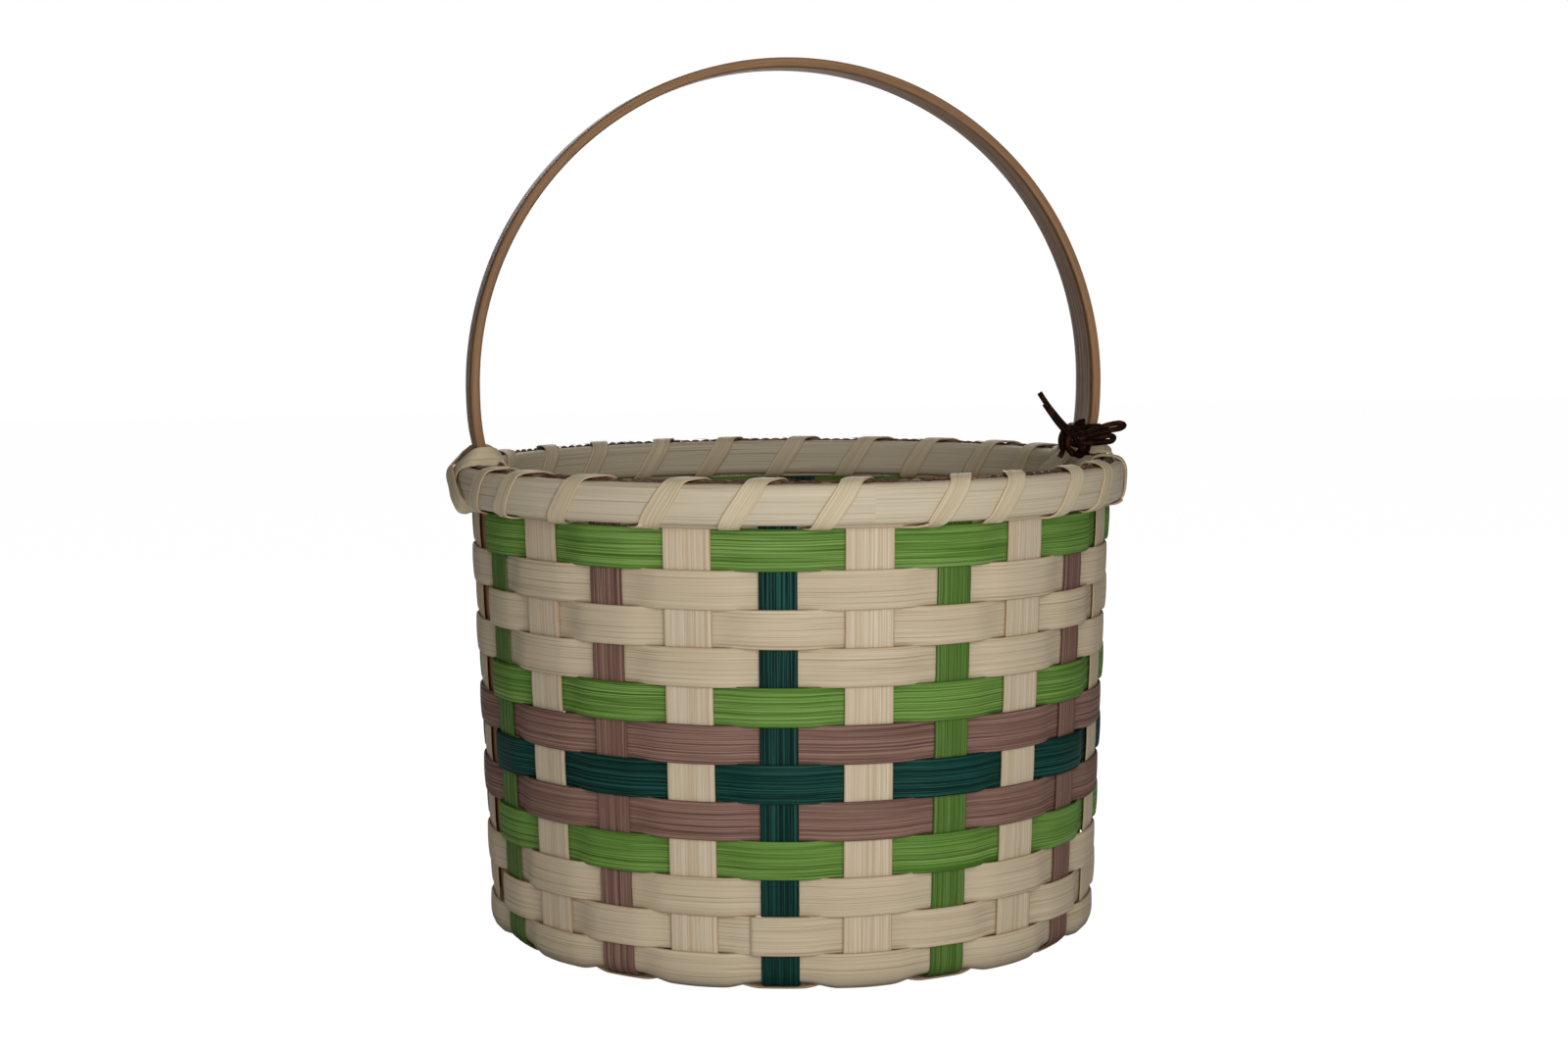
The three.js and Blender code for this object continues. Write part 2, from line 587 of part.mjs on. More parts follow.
// The X at a handle foot. The strip crosses the outer rim, goes round one edge of the leg and down
// inside, comes out under the rims, crosses back over itself, goes round the other edge and down
// inside. Each station is a run, a depth, a height and the way that it faces, chosen by hand
// against the leg, the rims and the strip's own first crossing.
function handleCross(handleAngle) {
  const gap = GAP_RUN / 2;
  const out = LASH_OUTSIDE;
  const over = LASH_OUTSIDE + LASH_THICK + 2 * CLEARANCE;
  const inside = HANDLE_INSIDE + INNER_RIM_THICK + LASH_THICK / 2 + LASH_SLACK_INSIDE;
  const within = inside + LASH_THICK + 2.3 * CLEARANCE;
  const legOut = -TAIL_OUTSIDE;
  const legIn = -TAIL_OUTSIDE - HANDLE_THICK;
  const low = LASH_UNDER;
  const high = LASH_OVER + 2.4;
  return [
    [-gap - 3.8, -3.0, low, 0, 0, -1],
    [-gap - 2.4, 0.6, low, 0, 0, -1],
    [-gap, out - 2.3, low + 0.6, 0, 0.5, -0.87],
    [-gap + 1.8, out - 0.25, low + 2.7, 0, 0.87, -0.5],
    [-AT_EDGE + 4.3, out, -0.7, 0, 1, 0],
    [1.5, out, 4.3, 0, 1, 0.1],
    [AT_EDGE - 5.2, out - 1.1, high - 3.3, 0, 0.86, 0.5],
    [AT_EDGE - 2.6, legOut + 5.2, high - 1.5, 0.3, 0.6, 0.66],
    [AT_EDGE - 0.8, legOut + 2.8, high - 0.4, 0.6, 0.5, 0.6],
    [AT_EDGE, legOut + 0.4, high, 0.95, 0.2, 0.2],
    [AT_EDGE, legIn + 0.2, high, 0.95, -0.2, 0.2],
    [AT_EDGE - 1.0, legIn - 3.3, high - 0.9, 0.5, -0.75, 0.4],
    [AT_EDGE - 0.4, -inside, high - 4.3, 0, -1, 0.1],
    [AT_EDGE + 0.4, -inside, 0, 0, -1, 0],
    [AT_EDGE + 1.0, -inside + 0.5, low + 2.8, 0, -0.87, -0.5],
    [LANE - 0.1, legIn - 1.4, low + 0.4, 0, -0.4, -0.9],
    [LANE, -1.5, low, 0, 0, -1],
    [LANE, 1.5, low, 0, 0, -1],
    [LANE + 0.9, out - 2.6, low - 0.7, 0, 0.4, -0.9],
    [LANE + 0.2, out - 0.1, low + 1.4, 0.1, 0.9, -0.45],
    [AT_EDGE - 2.2, over, -2.4, 0.12, 1, -0.05],
    [3.0, over + 0.1, 1.7, 0.05, 1, 0],
    [-2.5, over, 5.5, -0.1, 1, 0.15],
    [-AT_EDGE + 4.9, over - 1.5, high - 2.6, -0.15, 0.8, 0.6],
    [-AT_EDGE + 2.4, legOut + 5.4, high - 1.1, -0.3, 0.6, 0.7],
    [-AT_EDGE + 0.8, legOut + 2.8, high - 0.2, -0.6, 0.5, 0.6],
    [-AT_EDGE, legOut + 0.4, high, -0.95, 0.2, 0.2],
    [-AT_EDGE, legIn + 0.2, high, -0.95, -0.2, 0.2],
    [-AT_EDGE + 1.2, legIn - 3.3, high - 0.9, -0.5, -0.75, 0.4],
    [-AT_EDGE + 4.8, -inside - 0.2, high - 3.4, 0, -1, 0.1],
    [3.5, -within, 2.6, 0, -1, 0],
    [NEXT_LANE - 2.9, -within, -3.4, 0, -1, 0],
    [NEXT_LANE - 0.5, legIn - 4.0, low + 2.5, 0, -0.87, -0.5],
    [NEXT_LANE, legIn - 1.0, low + 0.4, 0, -0.4, -0.9],
    [NEXT_LANE, -1.0, low, 0, 0, -1],
    [NEXT_LANE, 1.5, low, 0, 0, -1],
  ].map(([run, depth, height, ...facing]) => (
    { angle: handleAngle + run / LASH_ARM, depth, height, facing }));
}

// Half the lashing: the X at one handle foot, then a turn in each gap up to the other foot. The
// last turn ends inside, before the next half begins.
function lashingStations(handleAngle) {
  const stations = handleCross(handleAngle);
  const turns = STAKE_COUNT / 2 - 1;
  for (let i = 0; i < turns; i += 1) {
    const gapAngle = handleAngle + (i + 0.5) * PITCH;
    const shift = i === 0 ? FIRST_TURN - GAP_RUN / 2 - LASH_SHIFT : 0;
    const end = i < turns - 1 ? TURN_START + 360 : TURN_START + 300;
    for (let degrees = TURN_START; degrees < end; degrees += TURN_STEP) {
      stations.push(turnStation(gapAngle, shift, degrees));
    }
  }
  return stations;
}

// Sections of the strip: its width is square to its path and to the surface that it lies on.
function stripSections(stations) {
  const centres = stations.map((s) => place(s.angle, RIM_MIDDLE + s.height, s.depth));
  return stations.map(({ angle, facing }, i) => {
    const before = centres[Math.max(0, i - 1)];
    const after = centres[Math.min(centres.length - 1, i + 1)];
    const run = after.clone().sub(before).normalize();
    const round = new THREE.Vector3(Math.cos(angle), Math.sin(angle), 0);
    const flat = new THREE.Vector3(Math.sin(angle), -Math.cos(angle), 0);
    const rise = new THREE.Vector3(0, 0, 1);
    const outward = flat.clone().multiplyScalar(Math.cos(FLARE)).addScaledVector(rise, -Math.sin(FLARE));
    const up = flat.clone().multiplyScalar(Math.sin(FLARE)).addScaledVector(rise, Math.cos(FLARE));
    const face = round.multiplyScalar(facing[0]).addScaledVector(outward, facing[1])
      .addScaledVector(up, facing[2]);
    const width = run.clone().cross(face).normalize().multiplyScalar(LASH_WIDTH / 2);
    const thick = width.clone().cross(run).normalize().multiplyScalar(LASH_THICK / 2);
    return [[-1, 1], [1, 1], [1, -1], [-1, -1]].map(([w, t]) => centres[i].clone()
      .addScaledVector(width, w).addScaledVector(thick, t));
  });
}

// Points across both faces of the strip, at three places in each span between two sections.
function stripPoints(sections) {
  const groups = [];
  sections.slice(1).forEach((section, i) => {
    for (let step = 0; step < 3; step += 1) {
      const corner = sections[i].map((p, k) => p.clone().lerp(section[k], step / 3));
      const points = [];
      for (let across = 0; across <= 1; across += 0.25) {
        points.push(corner[0].clone().lerp(corner[1], across));
        points.push(corner[3].clone().lerp(corner[2], across));
      }
      groups.push(points);
    }
  });
  return groups;
}

for (const [name, angle] of [["front", -HANDLE_ANGLE], ["back", HANDLE_ANGLE]]) {
  const sections = stripSections(lashingStations(angle));
  add(`rim_lashing_${name}`, loft(sections), "natural");
  printGap(`rim_lashing_${name}`, leastGap(stripPoints(sections), 12, 3 * LASH_WIDTH));
}

// Bow of waxed cord on the right-hand leg of the handle: turns round the leg, a knot at its front
// edge, two loops and two cut ends. Its points are measured from the middle of the leg's front edge,
// at the height where the turns begin: outwards, forwards and up.
function legAt(height) {
  const k = rightHalf.findIndex((stop) => stop.z >= height);
  const [below, above] = [rightHalf[k - 1], rightHalf[k]];
  return mix(below.x, above.x, (height - below.z) / (above.z - below.z));
}

const bowHeight = legTop.z + BOW_RISE;
const bowAt = new THREE.Vector3(legAt(bowHeight), -HANDLE_WIDTH / 2, bowHeight);

function fromLeg([outwards, forwards, up]) {
  return new THREE.Vector3(outwards, -forwards, up).add(bowAt);
}

function cordPiece(name, points, steps, closed = false) {
  const curve = new THREE.CatmullRomCurve3(points, closed, "centripetal");
  const frames = curve.computeFrenetFrames(steps, closed);
  const sections = [];
  for (let i = 0; i < steps + (closed ? 0 : 1); i += 1) {
    const centre = curve.getPointAt(i / steps);
    const ring = [];
    for (let k = 0; k < CORD_SIDES; k += 1) {
      const turn = (2 * Math.PI * (k + 0.5)) / CORD_SIDES;
      ring.push(centre.clone()
        .addScaledVector(frames.normals[i], (BOW_CORD / 2) * Math.cos(turn))
        .addScaledVector(frames.binormals[i], (BOW_CORD / 2) * Math.sin(turn)));
    }
    sections.push(ring);
  }
  add(name, loft(sections, closed), "waxed");
  return curve;
}

// Turns round the leg: a rounded box that climbs at a steady rate, and a lead to the knot.
function bowTurns() {
  const climb = BOW_CORD + 1.3 * LEAST_GAP;
  const halfWidth = HANDLE_WIDTH / 2 + 2 * CLEARANCE + BOW_CORD / 2;
  const halfThick = HANDLE_THICK / 2 + 4 * CLEARANCE + BOW_CORD / 2;
  const points = [];
  for (let i = 0; i <= BOW_TURNS * BOW_TURN_STEPS - 3; i += 1) {
    const turn = -Math.PI / 2 + (2 * Math.PI * (i + 1.5)) / BOW_TURN_STEPS;
    points.push(fromLeg([
      halfThick * rounded(Math.cos(turn), BOW_ROUNDING),
      -HANDLE_WIDTH / 2 - halfWidth * rounded(Math.sin(turn), BOW_ROUNDING),
      (climb * i) / BOW_TURN_STEPS,
    ]));
  }
  return [...points, ...[[-4.6, 2.4, 4.3], [-6.4, 3.8, 3.3], [-7.6, 5.1, 1.6]].map(fromLeg)];
}

// The knot is a trefoil pulled small, in front of the leg's inner edge.
function bowKnot() {
  const middle = [-7.7, 5.9, -3.9];
  const points = [];
  const count = 24;
  for (let i = 0; i < count; i += 1) {
    const t = (2 * Math.PI * i) / count;
    const wide = 1.5 * BOW_CORD * (1 + 0.5 * Math.cos(3 * t));
    points.push(fromLeg([
      middle[0] + wide * Math.cos(2 * t),
      middle[1] - 0.75 * BOW_CORD * Math.sin(3 * t),
      middle[2] + 1.25 * wide * Math.sin(2 * t),
    ]));
  }
  return points;
}

const turnsCurve = cordPiece("bow_turns", bowTurns(), BOW_TURNS * BOW_TURN_STEPS);
cordPiece("bow_knot", bowKnot(), 36, true);
cordPiece("bow_loop_upper", [[-2.6, 4.9, -1.2], [1.5, 5.7, 0.6], [5.0, 6.7, 1.8], [7.8, 8.0, 2.4],
  [9.6, 9.6, 1.2], [6.4, 9.5, -0.7], [2.0, 8.5, -1.8], [-2.7, 8.1, -3.0]].map(fromLeg), 20);
cordPiece("bow_loop_lower", [[-1.7, 5.5, -4.4], [1.8, 6.4, -3.7], [4.8, 7.4, -3.2],
  [6.7, 8.8, -3.6], [5.2, 9.6, -5.6], [1.8, 9.0, -6.8], [-2.0, 8.0, -7.1]].map(fromLeg), 18);
cordPiece("bow_end_long", [[-11.8, 5.4, 1.8], [-15.1, 5.4, 5.7], [-18.4, 5, 10],
  [-21, 4.5, 13.9]].map(fromLeg), 6);
cordPiece("bow_end_short", [[-12.9, 7.6, -0.2], [-15.3, 7.5, 3.0], [-17.8, 7.2, 6.6],
  [-19.8, 6.8, 9.6]].map(fromLeg), 6);

const turnPoints = turnsCurve.getSpacedPoints(4 * BOW_TURNS * BOW_TURN_STEPS);
const pointStep = turnPoints[0].distanceTo(turnPoints[1]);
printGap("bow_turns", leastGap(turnPoints.map((p) => [p]), Math.ceil((2.2 * BOW_CORD) / pointStep),
  Infinity) - BOW_CORD);

export default basket;
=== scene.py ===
"""Round basket woven from flat reed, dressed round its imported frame.

The strips follow the frame's own layout: distances are measured along the middle surface of the
stakes, out from the middle of the base, round the foot and up the wall. Angles go round the Z axis
from the front (-Y) towards +X. Lengths in this file are in millimetres until a mesh is made.
"""
import math

import bpy
import numpy as np
from mathutils import Matrix


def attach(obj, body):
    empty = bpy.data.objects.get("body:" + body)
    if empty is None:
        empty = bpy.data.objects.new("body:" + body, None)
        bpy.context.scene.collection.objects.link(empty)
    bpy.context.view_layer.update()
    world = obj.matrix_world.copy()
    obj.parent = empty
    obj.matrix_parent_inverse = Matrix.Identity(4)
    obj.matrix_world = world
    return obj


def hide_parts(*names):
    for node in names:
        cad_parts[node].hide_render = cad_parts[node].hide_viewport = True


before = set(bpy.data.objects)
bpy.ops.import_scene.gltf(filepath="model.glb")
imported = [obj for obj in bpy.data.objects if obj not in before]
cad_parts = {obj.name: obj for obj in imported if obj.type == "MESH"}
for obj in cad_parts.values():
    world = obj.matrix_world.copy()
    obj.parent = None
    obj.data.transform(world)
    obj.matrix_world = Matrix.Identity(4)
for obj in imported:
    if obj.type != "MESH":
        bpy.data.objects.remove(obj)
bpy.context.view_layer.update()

# Camera. It stands a little to the left of the middle and just above the rim, as for the
# photograph, and looks slightly down.
HEADING = math.radians(12.85)
PITCH_DOWN = math.radians(5.34)
ROLL = math.radians(-0.32)
CAMERA_PLACE = (-0.2039, -0.8838, 0.232)
LENS_PIXELS = 2491
IMAGE_WIDTH = 1600
SENSOR_WIDTH = 36

heading = np.array([math.sin(HEADING), math.cos(HEADING), 0])
upright = np.array([0, 0, 1])
level_right = np.array([math.cos(HEADING), -math.sin(HEADING), 0])
forward = heading * math.cos(PITCH_DOWN) - upright * math.sin(PITCH_DOWN)
tilted_up = heading * math.sin(PITCH_DOWN) + upright * math.cos(PITCH_DOWN)
right = level_right * math.cos(ROLL) + tilted_up * math.sin(ROLL)
up = tilted_up * math.cos(ROLL) - level_right * math.sin(ROLL)
lens = bpy.data.cameras.new("camera")
lens.sensor_width = SENSOR_WIDTH
lens.lens = LENS_PIXELS / IMAGE_WIDTH * SENSOR_WIDTH
lens.clip_start = 0.01
lens.clip_end = 60


def stand(name, data, across, above, back, spot):
    """An object in the scene at a spot in metres, with its own X, Y and Z axes given."""
    pose = np.eye(4)
    pose[:3] = np.stack([across, above, back, spot], axis=1)
    thing = bpy.data.objects.new(name, data)
    thing.matrix_world = Matrix(pose.tolist())
    bpy.context.scene.collection.objects.link(thing)
    return thing


bpy.context.scene.camera = stand("camera", lens, right, up, -forward, CAMERA_PLACE)

# Light: a plain white backdrop that lights the basket only faintly, and three large soft lamps,
# one near the camera, one above and one behind.
WHITE = (1, 1, 1, 1)
BACKDROP_TONE = (0.97, 0.98, 1, 1)
BACKDROP_LIGHT = 0.07


def add_node(tree, kind, inputs=None, **settings):
    """A shader node with its settings, and its inputs given as values or as links from sockets."""
    node = tree.nodes.new("ShaderNode" + kind)
    for key, value in settings.items():
        setattr(node, key, value)
    for key, value in (inputs or {}).items():
        if isinstance(value, bpy.types.NodeSocket):
            tree.links.new(value, node.inputs[key])
        else:
            node.inputs[key].default_value = value
    return node


def either(tree, share, first, second):
    """The first shader turned into the second one by a share."""
    return add_node(tree, "MixShader", {0: share, 1: first, 2: second}).outputs[0]


room = bpy.data.worlds.new("room")
room.use_nodes = True
backdrop = room.node_tree
seen = backdrop.nodes["Background"]
seen.inputs["Color"].default_value = WHITE
seen.inputs["Strength"].default_value = 1
shed = add_node(backdrop, "Background", {"Color": BACKDROP_TONE, "Strength": BACKDROP_LIGHT})
by_camera = add_node(backdrop, "LightPath").outputs["Is Camera Ray"]
backdrop.links.new(either(backdrop, by_camera, shed.outputs[0], seen.outputs[0]),
                   backdrop.nodes["World Output"].inputs[0])
bpy.context.scene.world = room
bpy.context.scene.view_settings.view_transform = "Standard"


def unit(vectors):
    """Vectors brought to a length of one."""
    return vectors / np.linalg.norm(vectors, axis=-1, keepdims=True)


def soft_light(name, spot, aim, size, watts):
    """A square lamp at a spot in metres, turned to face the aim."""
    lamp = bpy.data.lights.new(name, "AREA")
    lamp.size = size
    lamp.energy = watts
    away = unit(np.subtract(spot, aim))
    across = unit(np.cross(upright, away))
    stand(name, lamp, across, np.cross(away, across), away, spot)


soft_light("key_light", (-0.06, -0.8, 0.3), (0, 0, 0.12), 0.55, 3.85)
soft_light("top_light", (0.1, -0.5, 1.7), (0, 0, 0.1), 1.2, 2.9)
soft_light("back_light", (0.1, 1.1, 0.5), (0, 0, 0.12), 0.8, 7)

# Floor: a pale plane that is lit nearly to white where the camera sees it, as in the photograph,
# and throws some of the lamps' light back up. From below it isn't there, and it doesn't darken the
# base that rests on it: a ray shorter than the near reach passes through.
FLOOR_HALF = 4.0
FLOOR_DEPTH = 0.0003
FLOOR_TONE = (0.85, 0.85, 0.85, 1)
FLOOR_GLOW = 1.12
MATTE_SHARE = 0.12
NEAR_REACH = 0.012


def maths(tree, operation, *values):
    """The result of a Math node."""
    return add_node(tree, "Math", dict(enumerate(values)), operation=operation).outputs[0]


floor_mesh = bpy.data.meshes.new("floor")
floor_corners = [(x * FLOOR_HALF, y * FLOOR_HALF, -FLOOR_DEPTH)
                 for x, y in ((-1, -1), (1, -1), (1, 1), (-1, 1))]
floor_mesh.from_pydata(floor_corners, [], [(0, 1, 2, 3)])
floor = bpy.data.objects.new("floor", floor_mesh)
bpy.context.scene.collection.objects.link(floor)
pale = bpy.data.materials.new("pale_floor")
pale.use_nodes = True
paint = pale.node_tree
paint.nodes.remove(paint.nodes["Principled BSDF"])
matte = add_node(paint, "BsdfDiffuse", {"Color": FLOOR_TONE}).outputs[0]
glow = add_node(paint, "Emission", {"Strength": FLOOR_GLOW}).outputs[0]
absent = add_node(paint, "BsdfTransparent").outputs[0]
ray = add_node(paint, "LightPath").outputs
from_below = add_node(paint, "NewGeometry").outputs["Backfacing"]
is_far = maths(paint, "GREATER_THAN", ray["Ray Length"], NEAR_REACH)
bounce = either(paint, is_far, absent, matte)
looked_at = either(paint, ray["Is Camera Ray"], bounce, either(paint, MATTE_SHARE, glow, matte))
paint.links.new(either(paint, from_below, looked_at, absent),
                paint.nodes["Material Output"].inputs["Surface"])
floor_mesh.materials.append(pale)

# Natural stakes: six long spokes of flat reed, about 5/8 inch wide, that cross under the base, where
# they are pared, and turn up at both ends. Their ribs run along them.
STAKE_THICK = 1.0
CLEARANCE = 0.3
FOOT_RADIUS = 111.3
CORNER_RADIUS = 11.5
CORNER_START = FOOT_RADIUS - CORNER_RADIUS
CORNER_RUN = 17.45
WALL_FOOT = CORNER_START + CORNER_RUN
WALL_TOP = 271.85
FLARE = math.radians(2.1)
STAKE_COUNT = 24
PITCH = 2 * math.pi / STAKE_COUNT
BASE_MIDDLE = 1.8
ROWS_TOP = 259.55
ROW_PITCH = 12.9
NATURAL_WIDTH = 16.6
NATURAL_WAIST = 10.0
CROSSING_WIDTH = 8.0
CROSSING_THICK = 0.6
CROSSING_TAPER = 7.7
PARED = 16.79
DYED_START = 43.75
STAKE_TAPER = 31.2
STAKE_BULGE = 0.15
BULGE_RISE = 10
BULGE_FALL = 4
NATURAL_RIBS = 11
NATURAL_COLUMNS = 41
NATURAL_SAMPLES = 321
RIB_HEIGHT = 0.05
REED_RELIEF = 0.0002
MM = 0.001
CM = 0.1
CORNER_POWER = 5
CORNER_SAMPLES = 400
CORNER_OUT = CORNER_RADIUS * math.cos(FLARE)
CORNER_RISE = CORNER_RADIUS * (1 - math.sin(FLARE))


def gone(points):
    """The distance gone along a line at each of its points."""
    return np.append(0, np.cumsum(np.linalg.norm(np.diff(points, axis=0), axis=1)))


def rounded(value, power):
    """A cosine or sine raised to a power with its sign kept, which makes a rounded box of a circle."""
    return np.sign(value) * np.abs(value) ** power


corner_turn = np.linspace(0, math.pi / 2, CORNER_SAMPLES)
corner_out = rounded(np.sin(corner_turn), 2 / CORNER_POWER)
corner_down = rounded(np.cos(corner_turn), 2 / CORNER_POWER)
corner_run = gone(np.stack([CORNER_OUT * corner_out, CORNER_RISE * corner_down], axis=1))
corner_run /= corner_run[-1]


def bowl(distance):
    """Radius, height and outward normal of the stakes' middle surface at a distance from the middle
    of the base: flat, then round the foot, then a straight wall that leans out. Round the foot it is
    a quarter of a superellipse, |x|^p + |y|^p = 1, at an even pace."""
    flat = np.minimum(distance, CORNER_START)
    share = np.clip((distance - CORNER_START) / CORNER_RUN, 0, 1)
    out, down = np.interp(share, corner_run, corner_out), np.interp(share, corner_run, corner_down)
    wall = np.maximum(distance - WALL_FOOT, 0)
    radius = flat + CORNER_OUT * out + wall * math.sin(FLARE)
    height = BASE_MIDDLE + CORNER_RISE * (1 - down) + wall * math.cos(FLARE)
    level, drop = out ** (CORNER_POWER - 1), down ** (CORNER_POWER - 1) + math.sin(FLARE) * share
    length = np.hypot(level, drop)
    return radius, height, level / length, -drop / length


def place(angle, distance, depth, side=0.0):
    """Points of the bowl: at an angle and a distance, outwards by depth and sideways by side. A
    negative distance is on the opposite side of the middle."""
    radius, height, out, rise = bowl(np.abs(distance))
    reach = np.sign(distance) * (radius + depth * out)
    x = reach * np.sin(angle) + side * np.cos(angle)
    y = -reach * np.cos(angle) + side * np.sin(angle)
    return np.stack(np.broadcast_arrays(x, y, height + depth * rise), axis=-1)


def blend(low, high, share):
    """From low to high as share goes from 0 to 1, and level outside that."""
    return low + (high - low) * np.clip(share, 0, 1)


def natural_half(distance):
    """Half the width of a natural stake: pared at the crossing, a waist, and full from there out."""
    waist = blend(CROSSING_WIDTH, NATURAL_WAIST, (distance - PARED) / (DYED_START - PARED))
    return blend(waist, NATURAL_WIDTH, (distance - DYED_START) / STAKE_TAPER) / 2


def strip_ring(columns, ribs=0.0, count=0):
    """The section of a flat strip, once round: places across it from -1 to 1 and shares of half its
    thickness. The faces are faintly domed, the edges rounded, and ribs are a cosine across."""
    edge = np.array([-1, -0.985, -0.94])
    across = np.concatenate([edge, np.linspace(-0.88, 0.88, columns), -edge[::-1]])
    share = 1 - 0.2 * across ** 2 - ((np.abs(across) - 0.8) / 0.2).clip(0, 1) ** 3 * 0.45
    share = share + ribs * np.cos(count * math.pi * across) * (np.abs(across) < 0.96)
    return np.concatenate([across, across[::-1]]), np.concatenate([share, -share[::-1]])


def tube_faces(points, closed):
    """Quads between neighbouring rings of points, for each the numbers of its four corners in the
    uv grid, which has one more column than the ring, and one more row if the tube is closed, and
    the direction in which the first ring goes round its own end cap. The quads are turned over if
    the tube's volume, the sum of a . b x c over its triangles, comes out negative."""
    count, sides = points.shape[:2]
    spans = count if closed else count - 1
    i, j = np.meshgrid(np.arange(spans), np.arange(sides), indexing="ij")
    i, j = i.ravel(), j.ravel()
    ring = [(i, j), (i, j + 1), (i + 1, j + 1), (i + 1, j)]
    quads = np.stack([(a % count) * sides + b % sides for a, b in ring], axis=1)
    corners = np.stack([a * (sides + 1) + b for a, b in ring], axis=1)
    flat = points.reshape(-1, 3)
    a, b, c, d = (flat[quads[:, k]] - flat.mean(axis=0) for k in range(4))
    if np.sum(a * np.cross(b, c)) + np.sum(a * np.cross(c, d)) > 0:
        return quads, corners, -1
    return quads[:, ::-1], corners[:, ::-1], 1


def finished_piece(name, tubes, finish, replaced):
    """One object from tubes, each (points, uv, edge, closed): rings of points in mm, the uv grid in
    cm, and how near each point of a ring is to the strip's edge, from 0 to 1."""
    vertices, quads, caps, uvs, edges = [], [], [], [], []
    start = 0
    for points, uv, edge, closed in tubes:
        count, sides = points.shape[:2]
        ordered, corners, way = tube_faces(points, closed)
        vertices.append(points.reshape(-1, 3) * MM)
        quads.append(ordered + start)
        uvs.append(uv.reshape(-1, 2)[corners].reshape(-1, 2))
        edges.append(np.broadcast_to(edge, (count, sides)).ravel())
        if not closed:
            first = np.arange(sides) + start
            last = first + (count - 1) * sides
            caps += [(first[::way], uv[0, :-1][::way]), (last[::-way], uv[-1, :-1][::-way])]
        start += count * sides
    faces = np.concatenate(quads).tolist() + [ring.tolist() for ring, _ in caps]
    mesh = bpy.data.meshes.new(name)
    mesh.from_pydata(np.concatenate(vertices), [], faces, shade_flat=False)
    layer = mesh.uv_layers.new(name="along_strip")
    flat_uv = np.concatenate(uvs + [grid for _, grid in caps])
    layer.data.foreach_set("uv", flat_uv.astype(np.float32).ravel())
    mark = mesh.attributes.new("edge", "FLOAT", "POINT")
    mark.data.foreach_set("value", np.concatenate(edges).astype(np.float32))
    mesh.validate()
    mesh.materials.append(finish)
    piece = bpy.data.objects.new(name, mesh)
    bpy.context.scene.collection.objects.link(piece)
    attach(piece, "root")
    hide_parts(*replaced)


def strip_uv(along, across_mm, offset):
    """The uv grid of a strip in cm: along it, and across it from its middle line. The offset gives
    each strip a part of the noise to itself."""
    across = np.append(across_mm, across_mm[0])
    u, v = np.meshgrid(np.asarray(along) * CM + offset, across * CM, indexing="ij")
    return np.stack([u, v], axis=-1)


def between(tree, value, low, high, to_low=0.0, to_high=1.0):
    """A value mapped from one range to another, smoothly and held at both ends."""
    return add_node(tree, "MapRange", {
        "Value": value, "From Min": low, "From Max": high, "To Min": to_low, "To Max": to_high,
    }, interpolation_type="SMOOTHSTEP").outputs[0]


def mixed(tree, share, a, b, mode="MIX"):
    """Colour a turned into colour b by a share."""
    node = add_node(tree, "Mix", data_type="RGBA", blend_type=mode)
    for socket, value in ((node.inputs[0], share), (node.inputs[6], a), (node.inputs[7], b)):
        if isinstance(value, bpy.types.NodeSocket):
            tree.links.new(value, socket)
        elif isinstance(value, (int, float)):
            socket.default_value = value
        else:
            socket.default_value = (*value, 1)
    return node.outputs[2]


def stretched_noise(tree, coordinates, along, across, detail=2.0, shift=0.0):
    """Noise drawn out along the strip: so many cells per cm along it and across it."""
    scaled = add_node(tree, "Mapping", {
        "Vector": coordinates, "Scale": (along, across, 1), "Location": (shift, shift, 0)})
    return add_node(tree, "TexNoise", {
        "Vector": scaled.outputs[0], "Scale": 1.0, "Detail": detail, "Roughness": 0.55,
    }, noise_dimensions="2D").outputs[0]


def new_material(name):
    """A material with its node tree, and the uv of the strip that wears it."""
    material = bpy.data.materials.new(name)
    material.use_nodes = True
    tree = material.node_tree
    return material, tree, add_node(tree, "UVMap", uv_map="along_strip").outputs[0]


def surface(tree, colour, roughness, specular, height, bump, depth):
    """The shader of a material: its colour, roughness and shine, and relief up to a depth."""
    shader = tree.nodes["Principled BSDF"]
    relief = add_node(tree, "Bump", {"Height": height, "Strength": bump, "Distance": depth})
    tree.links.new(colour, shader.inputs["Base Color"])
    tree.links.new(roughness, shader.inputs["Roughness"])
    tree.links.new(relief.outputs[0], shader.inputs["Normal"])
    shader.inputs["Specular IOR Level"].default_value = specular


